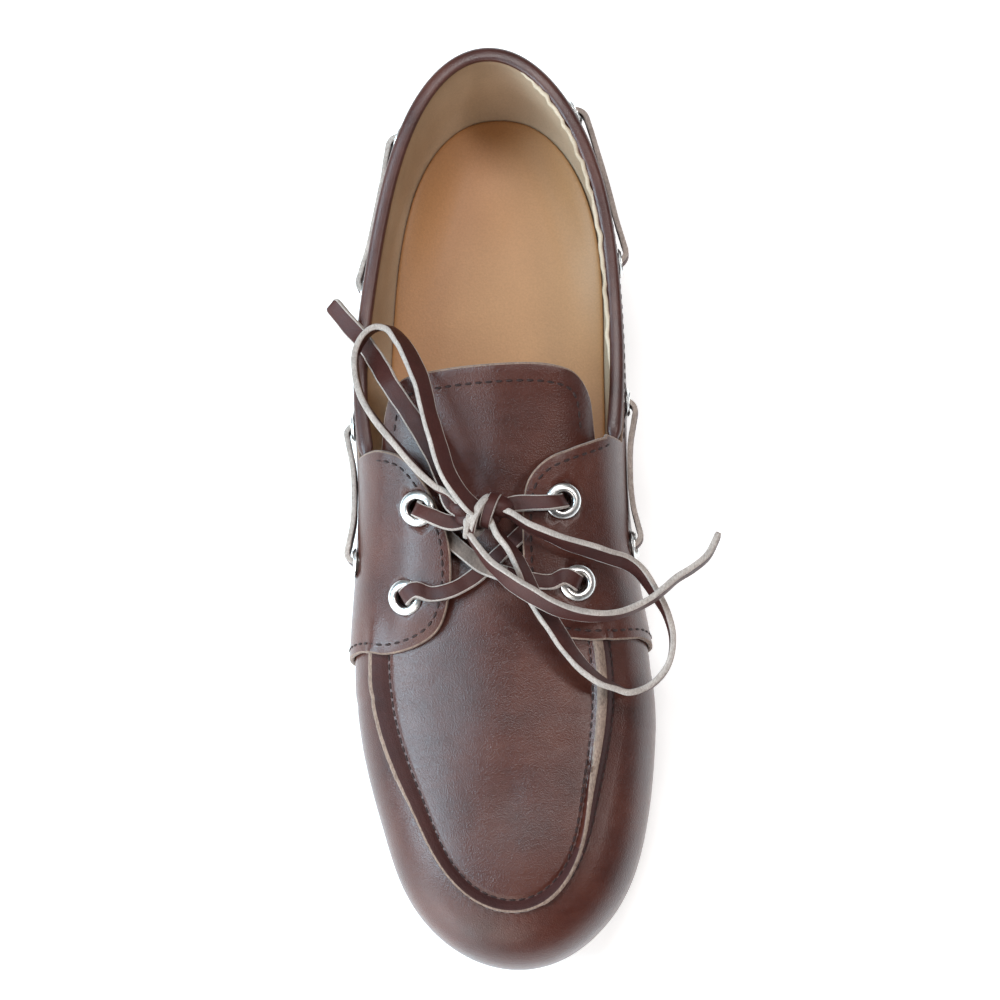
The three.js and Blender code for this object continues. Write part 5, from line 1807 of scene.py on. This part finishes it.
# Footbed

# Rim of the footbed: distance in from the wall, height over its base, share of the heel cup
FOOTBED_RIM = [
    (0.35, 0.00, 0.00), (0.35, 2.30, 1.00), (0.42, 2.75, 1.00), (0.75, 3.00, 1.00), (1.40, 3.08, 0.97),
    (2.60, 3.06, 0.88), (5.00, 3.00, 0.62), (8.00, 3.00, 0.30), (11.0, 3.00, 0.09), (14.0, 3.00, 0.00),
]
HEEL_CUP = 6.8
BED_DISH = 0.35
FOOTBED_SIDES = 220


def make_footbed():
    """The insole: a rounded rim against the lining, raised beside the heel, and a slightly dished bed."""
    count = FOOTBED_SIDES
    u = np.linspace(0, 2 * math.pi, count, endpoint=False)
    m = meridian(u)
    base = m["feather"] + GAP + 1.7 * smoothstep(m["at"], 0.62, 0.85)
    cup = HEEL_CUP * smoothstep(m["at"], 0.66, 0.90) * smoothstep(np.abs(u - math.pi), 0.0, 0.72)
    inward = m["end"] - m["start"]
    inward /= np.linalg.norm(inward, axis=1, keepdims=True)
    rows = []
    for inset, height, share in FOOTBED_RIM:
        level = base + height + cup * share
        against = base + height + cup if inset > 1 else level
        wall = last_point(u, phi_of_height(m, against))[:, :2]
        rows.append((wall + inward * inset, level))
    rim = rows[-1][0]
    for share in np.linspace(0, 1, 12)[1:]:
        level = base + INSOLE_THICKNESS - BED_DISH * smoothstep(share, 0, 0.5)
        rows.append((rim + (m["end"] - rim) * share, level))
    points = [np.concatenate([plan, z[:, None]], -1) for plan, z in rows]
    faces = grid_faces(len(rows), count, 0, closed=True)
    faces.append(tuple(range(count))[::-1])
    piece = fix_normals(new_mesh("footbed", np.vstack(points), faces, [FOOTBED]), weld=True)
    return finish_piece(piece, "insole_leather", "insole")


# Outsole

UNDERSIDE = table(
    ["at", "toe", "arch"],
    [[-0.05, 1.60, 0.0], [0.00, 1.00, 0.0], [0.05, 0.56, 0.0], [0.10, 0.24, 0.0], [0.15, 0.06, 0.0],
     [0.19, 0.0, 0.0], [1.05, 0.0, 0.0]],
)
# Rise of the arch and of the heel's back: at, share of the arch's rise
ARCH_ROWS = [
    (0.44, 0.0), (0.48, 0.10), (0.53, 0.40), (0.58, 0.75),
    (0.645, 1.0), (0.660, 0.0), (0.975, 0.0), (1.05, 0.60),
]
TREAD_GROOVES = [0.225, 0.265, 0.305, 0.345, 0.385, 0.73, 0.79, 0.85]

# The grooves' zigzag as a share of their width, the fine cuts' depth and pitch, the points' spacing
GROOVE_ZIGZAG = 1.6
CUT_DEPTH = 0.55
CUT_PITCH = 4.2
TREAD_SPACING = 0.95
SOLE_SIDES = 240

# Side of the sole from the ground up: share of its top's height, share of the feather inset
SOLE_SIDE = [
    (0.00, 0.52), (0.02, 0.455), (0.06, 0.435), (0.20, 0.42), (0.325, 0.405), (0.34, 0.39),
    (0.348, 0.33), (0.355, 0.29), (0.37, 0.275), (0.43, 0.265), (0.49, 0.265), (0.505, 0.275),
    (0.515, 0.30), (0.525, 0.36), (0.535, 0.38), (0.61, 0.38), (0.622, 0.36), (0.635, 0.26),
    (0.65, 0.225), (0.68, 0.215), (0.80, 0.22), (0.93, 0.235), (0.975, 0.27), (0.995, 0.34),
    (1.00, 0.45), (1.00, 0.75),
]


def underside_height(at):
    """Height of the sole's underside over the ground, at the toe and the arch."""
    arch = np.interp(at, [row[0] for row in ARCH_ROWS], [row[1] for row in ARCH_ROWS])
    return np.maximum(UNDERSIDE["toe"](at), 0) * TOE_SPRING + arch * ARCH_RISE


def groove_depth(x, y):
    """Depth of the cross grooves and the fine wavy cuts under the sole."""
    at = at_of(y)
    around = np.arccos(np.clip(1 - 2 * at, -1, 1))
    left = meridian(around)["start"][..., 0] + TREAD_BORDER + FEATHER_INSET / 2
    right = meridian(2 * math.pi - around)["start"][..., 0] - TREAD_BORDER - FEATHER_INSET / 2
    share = (x - left) / np.maximum(right - left, 1)
    within = smoothstep(share, -0.02, 0.03) * (1 - smoothstep(share, 0.97, 1.02))
    depth = np.zeros_like(x)
    zigzag = GROOVE_ZIGZAG * GROOVE_WIDTH * (1 - np.abs((share * 4) % 2 - 1))
    edge = GROOVE_WIDTH / 2
    for groove in TREAD_GROOVES:
        away = np.abs(y - (y_of(groove) + zigzag))
        depth = np.maximum(depth, GROOVE_DEPTH * (1 - smoothstep(away, edge - 0.4, edge + 0.3)))
    treads = ((at > 0.11) & (at < 0.44)) | ((at > 0.69) & (at < 0.93))
    wave = (y + 1.3 * np.sin(x * 0.75)) % CUT_PITCH - CUT_PITCH / 2
    cuts = CUT_DEPTH * (1 - smoothstep(np.abs(wave), 0.2, 0.75)) * treads * (depth < 0.1)
    return np.maximum(depth, cuts) * within


def sole_rings(m):
    """Rings of points from the ground up the side of the sole to its top."""
    crown = m["feather"] + SOLE_LIP
    rings = []
    for height, inset in SOLE_SIDE:
        share = inset * FEATHER_INSET / m["span"]
        plan = m["start"] + (m["end"] - m["start"]) * share[:, None]
        ground = underside_height(at_of(plan[:, 1]))
        z = np.where(height * crown > ground + 1.2, height * crown, np.maximum(ground + height * 3, 0))
        z = np.maximum(z, ground + 0.02 * (height > 0))
        rings.append(np.concatenate([plan, z[:, None]], -1))
    for lower, upper in zip(rings, rings[1:]):
        upper[:, 2] = np.maximum(upper[:, 2], lower[:, 2])
    return rings


def make_outsole():
    """The sole: its side, the underside with its tread, and the floor under the footbed."""
    count = SOLE_SIDES
    m = meridian(np.linspace(0, 2 * math.pi, count, endpoint=False))
    rings = sole_rings(m)
    points = np.vstack(rings)
    faces = grid_faces(len(rings), count, 0, closed=True)
    bottom = rings[0][:, :2][::-1]
    flat, triangles, _ = fill_loop(bottom, [], TREAD_SPACING)
    z = underside_height(at_of(flat[:, 1]))
    z = z + groove_depth(flat[:, 0], flat[:, 1]) * smoothstep(nearest(flat, bottom), 1.5, 4)
    first = len(points)
    points = np.vstack([points, np.concatenate([flat, z[:, None]], -1)])
    faces += [tuple(first + v for v in face) for face in triangles]
    first = len(points)
    plan = m["start"] + (m["end"] - m["start"]) * ((m["inset"] + 2) / m["span"])[:, None]
    points = np.vstack([points, np.concatenate([plan, (m["feather"] - 0.4)[:, None]], -1)])
    a = (len(rings) - 1) * count
    for c in range(count):
        faces.append((a + c, a + (c + 1) % count, first + (c + 1) % count, first + c))
    faces.append(tuple(first + c for c in range(count)))
    piece = fix_normals(new_mesh("sole", points, faces, [RUBBER]), weld=True)
    return finish_piece(piece, "sole_rubber", "outsole")


# Stitching

def on_surface(u, phi, height):
    u, phi = np.asarray(u, float), np.asarray(phi, float)
    return place(u, phi, height), last_normal(u, phi)


# Row below the roll: its first and last angle. Rows beside the heel seam: angle from it, lowest and highest z
ROLL_ROW = (1.74, 2 * math.pi - 1.70)
HEEL_ROW_ANGLE = 0.055
HEEL_ROW_Z = (22.0, 61.5)
PROUD = 0.05


def quarter_row(u, z):
    """Points and normals for a row of stitches on a quarter, at the heights z."""
    phi = phi_at_height(u, z, QUARTER_OUTER + 0 * u)
    return on_surface(u, phi, QUARTER_OUTER + PROUD + 0 * u)


def make_quarter_stitches(rows):
    """Stitches inside the wings' edges, below the roll and on both sides of the heel seam."""
    lines = []
    for row in rows:
        u, phi = roll_up(row)
        lines.append(on_surface(u, phi, quarter_top(u, phi) + PROUD))
    u = np.linspace(*ROLL_ROW, 400)
    y = last_point(u, phi_at_height(u, 48.0, QUARTER_OUTER + 0 * u))[:, 1]
    lines.append(quarter_row(u, TOPLINE["height"](at_of(y)) * COLLAR_HEIGHT - ROLL_HEIGHT - GAP - 1.5))
    for shift in (-HEEL_ROW_ANGLE, HEEL_ROW_ANGLE):
        z = np.linspace(*HEEL_ROW_Z, 60)
        lines.append(quarter_row(SEAM_U + shift + 0 * z, z))
    piece = stitches("quarter_stitches", lines, THREAD)
    return finish_piece(piece, "thread")


# Stitches of the moccasin seam: where they end under the wings, pitch, length and width
SEAM_STITCH_END = 0.41
SEAM_STITCH = (2.6, 1.9, 0.7)


def make_seam_stitches(vamp):
    """Stitches in the seam's inner crease, and at its outer line on the medial side."""
    u, (crease, crease_up), (outer, outer_up), at = vamp
    seen = at < SEAM_STITCH_END
    lateral = seen & (medial_share(u) < 0.75)
    medial = seen & (medial_share(u) > 0.25)
    inner = medial & ~lateral
    lines = [
        (crease[lateral] + crease_up[lateral] * 0.15, crease_up[lateral]),
        (outer[medial] + outer_up[medial] * 0.2, outer_up[medial]),
        (crease[inner] + crease_up[inner] * 0.15, crease_up[inner]),
    ]
    parts = []
    for line, up in lines:
        breaks = np.where(np.linalg.norm(np.diff(line, axis=0), axis=1) > 20)[0] + 1
        parts += list(zip(np.split(line, breaks), np.split(up, breaks)))
    piece = stitches("seam_stitches", parts, THREAD, *SEAM_STITCH)
    return finish_piece(piece, "thread")


def make_tongue_stitches(row):
    u, phi = angle_of_plan(row[:, 0], row[:, 1])
    piece = stitches("tongue_stitches", [on_surface(u, phi, tongue_top(u, phi) + PROUD)], THREAD)
    return finish_piece(piece, "thread")


# Assembly

make_laces()
make_eyelets()
vamp_lines = make_vamp()
make_quarter_stitches([make_quarter(-1), make_quarter(1)])
make_seam_stitches(vamp_lines)
make_tongue_stitches(make_tongue())
make_roll()
make_lining()
make_footbed()
make_outsole()
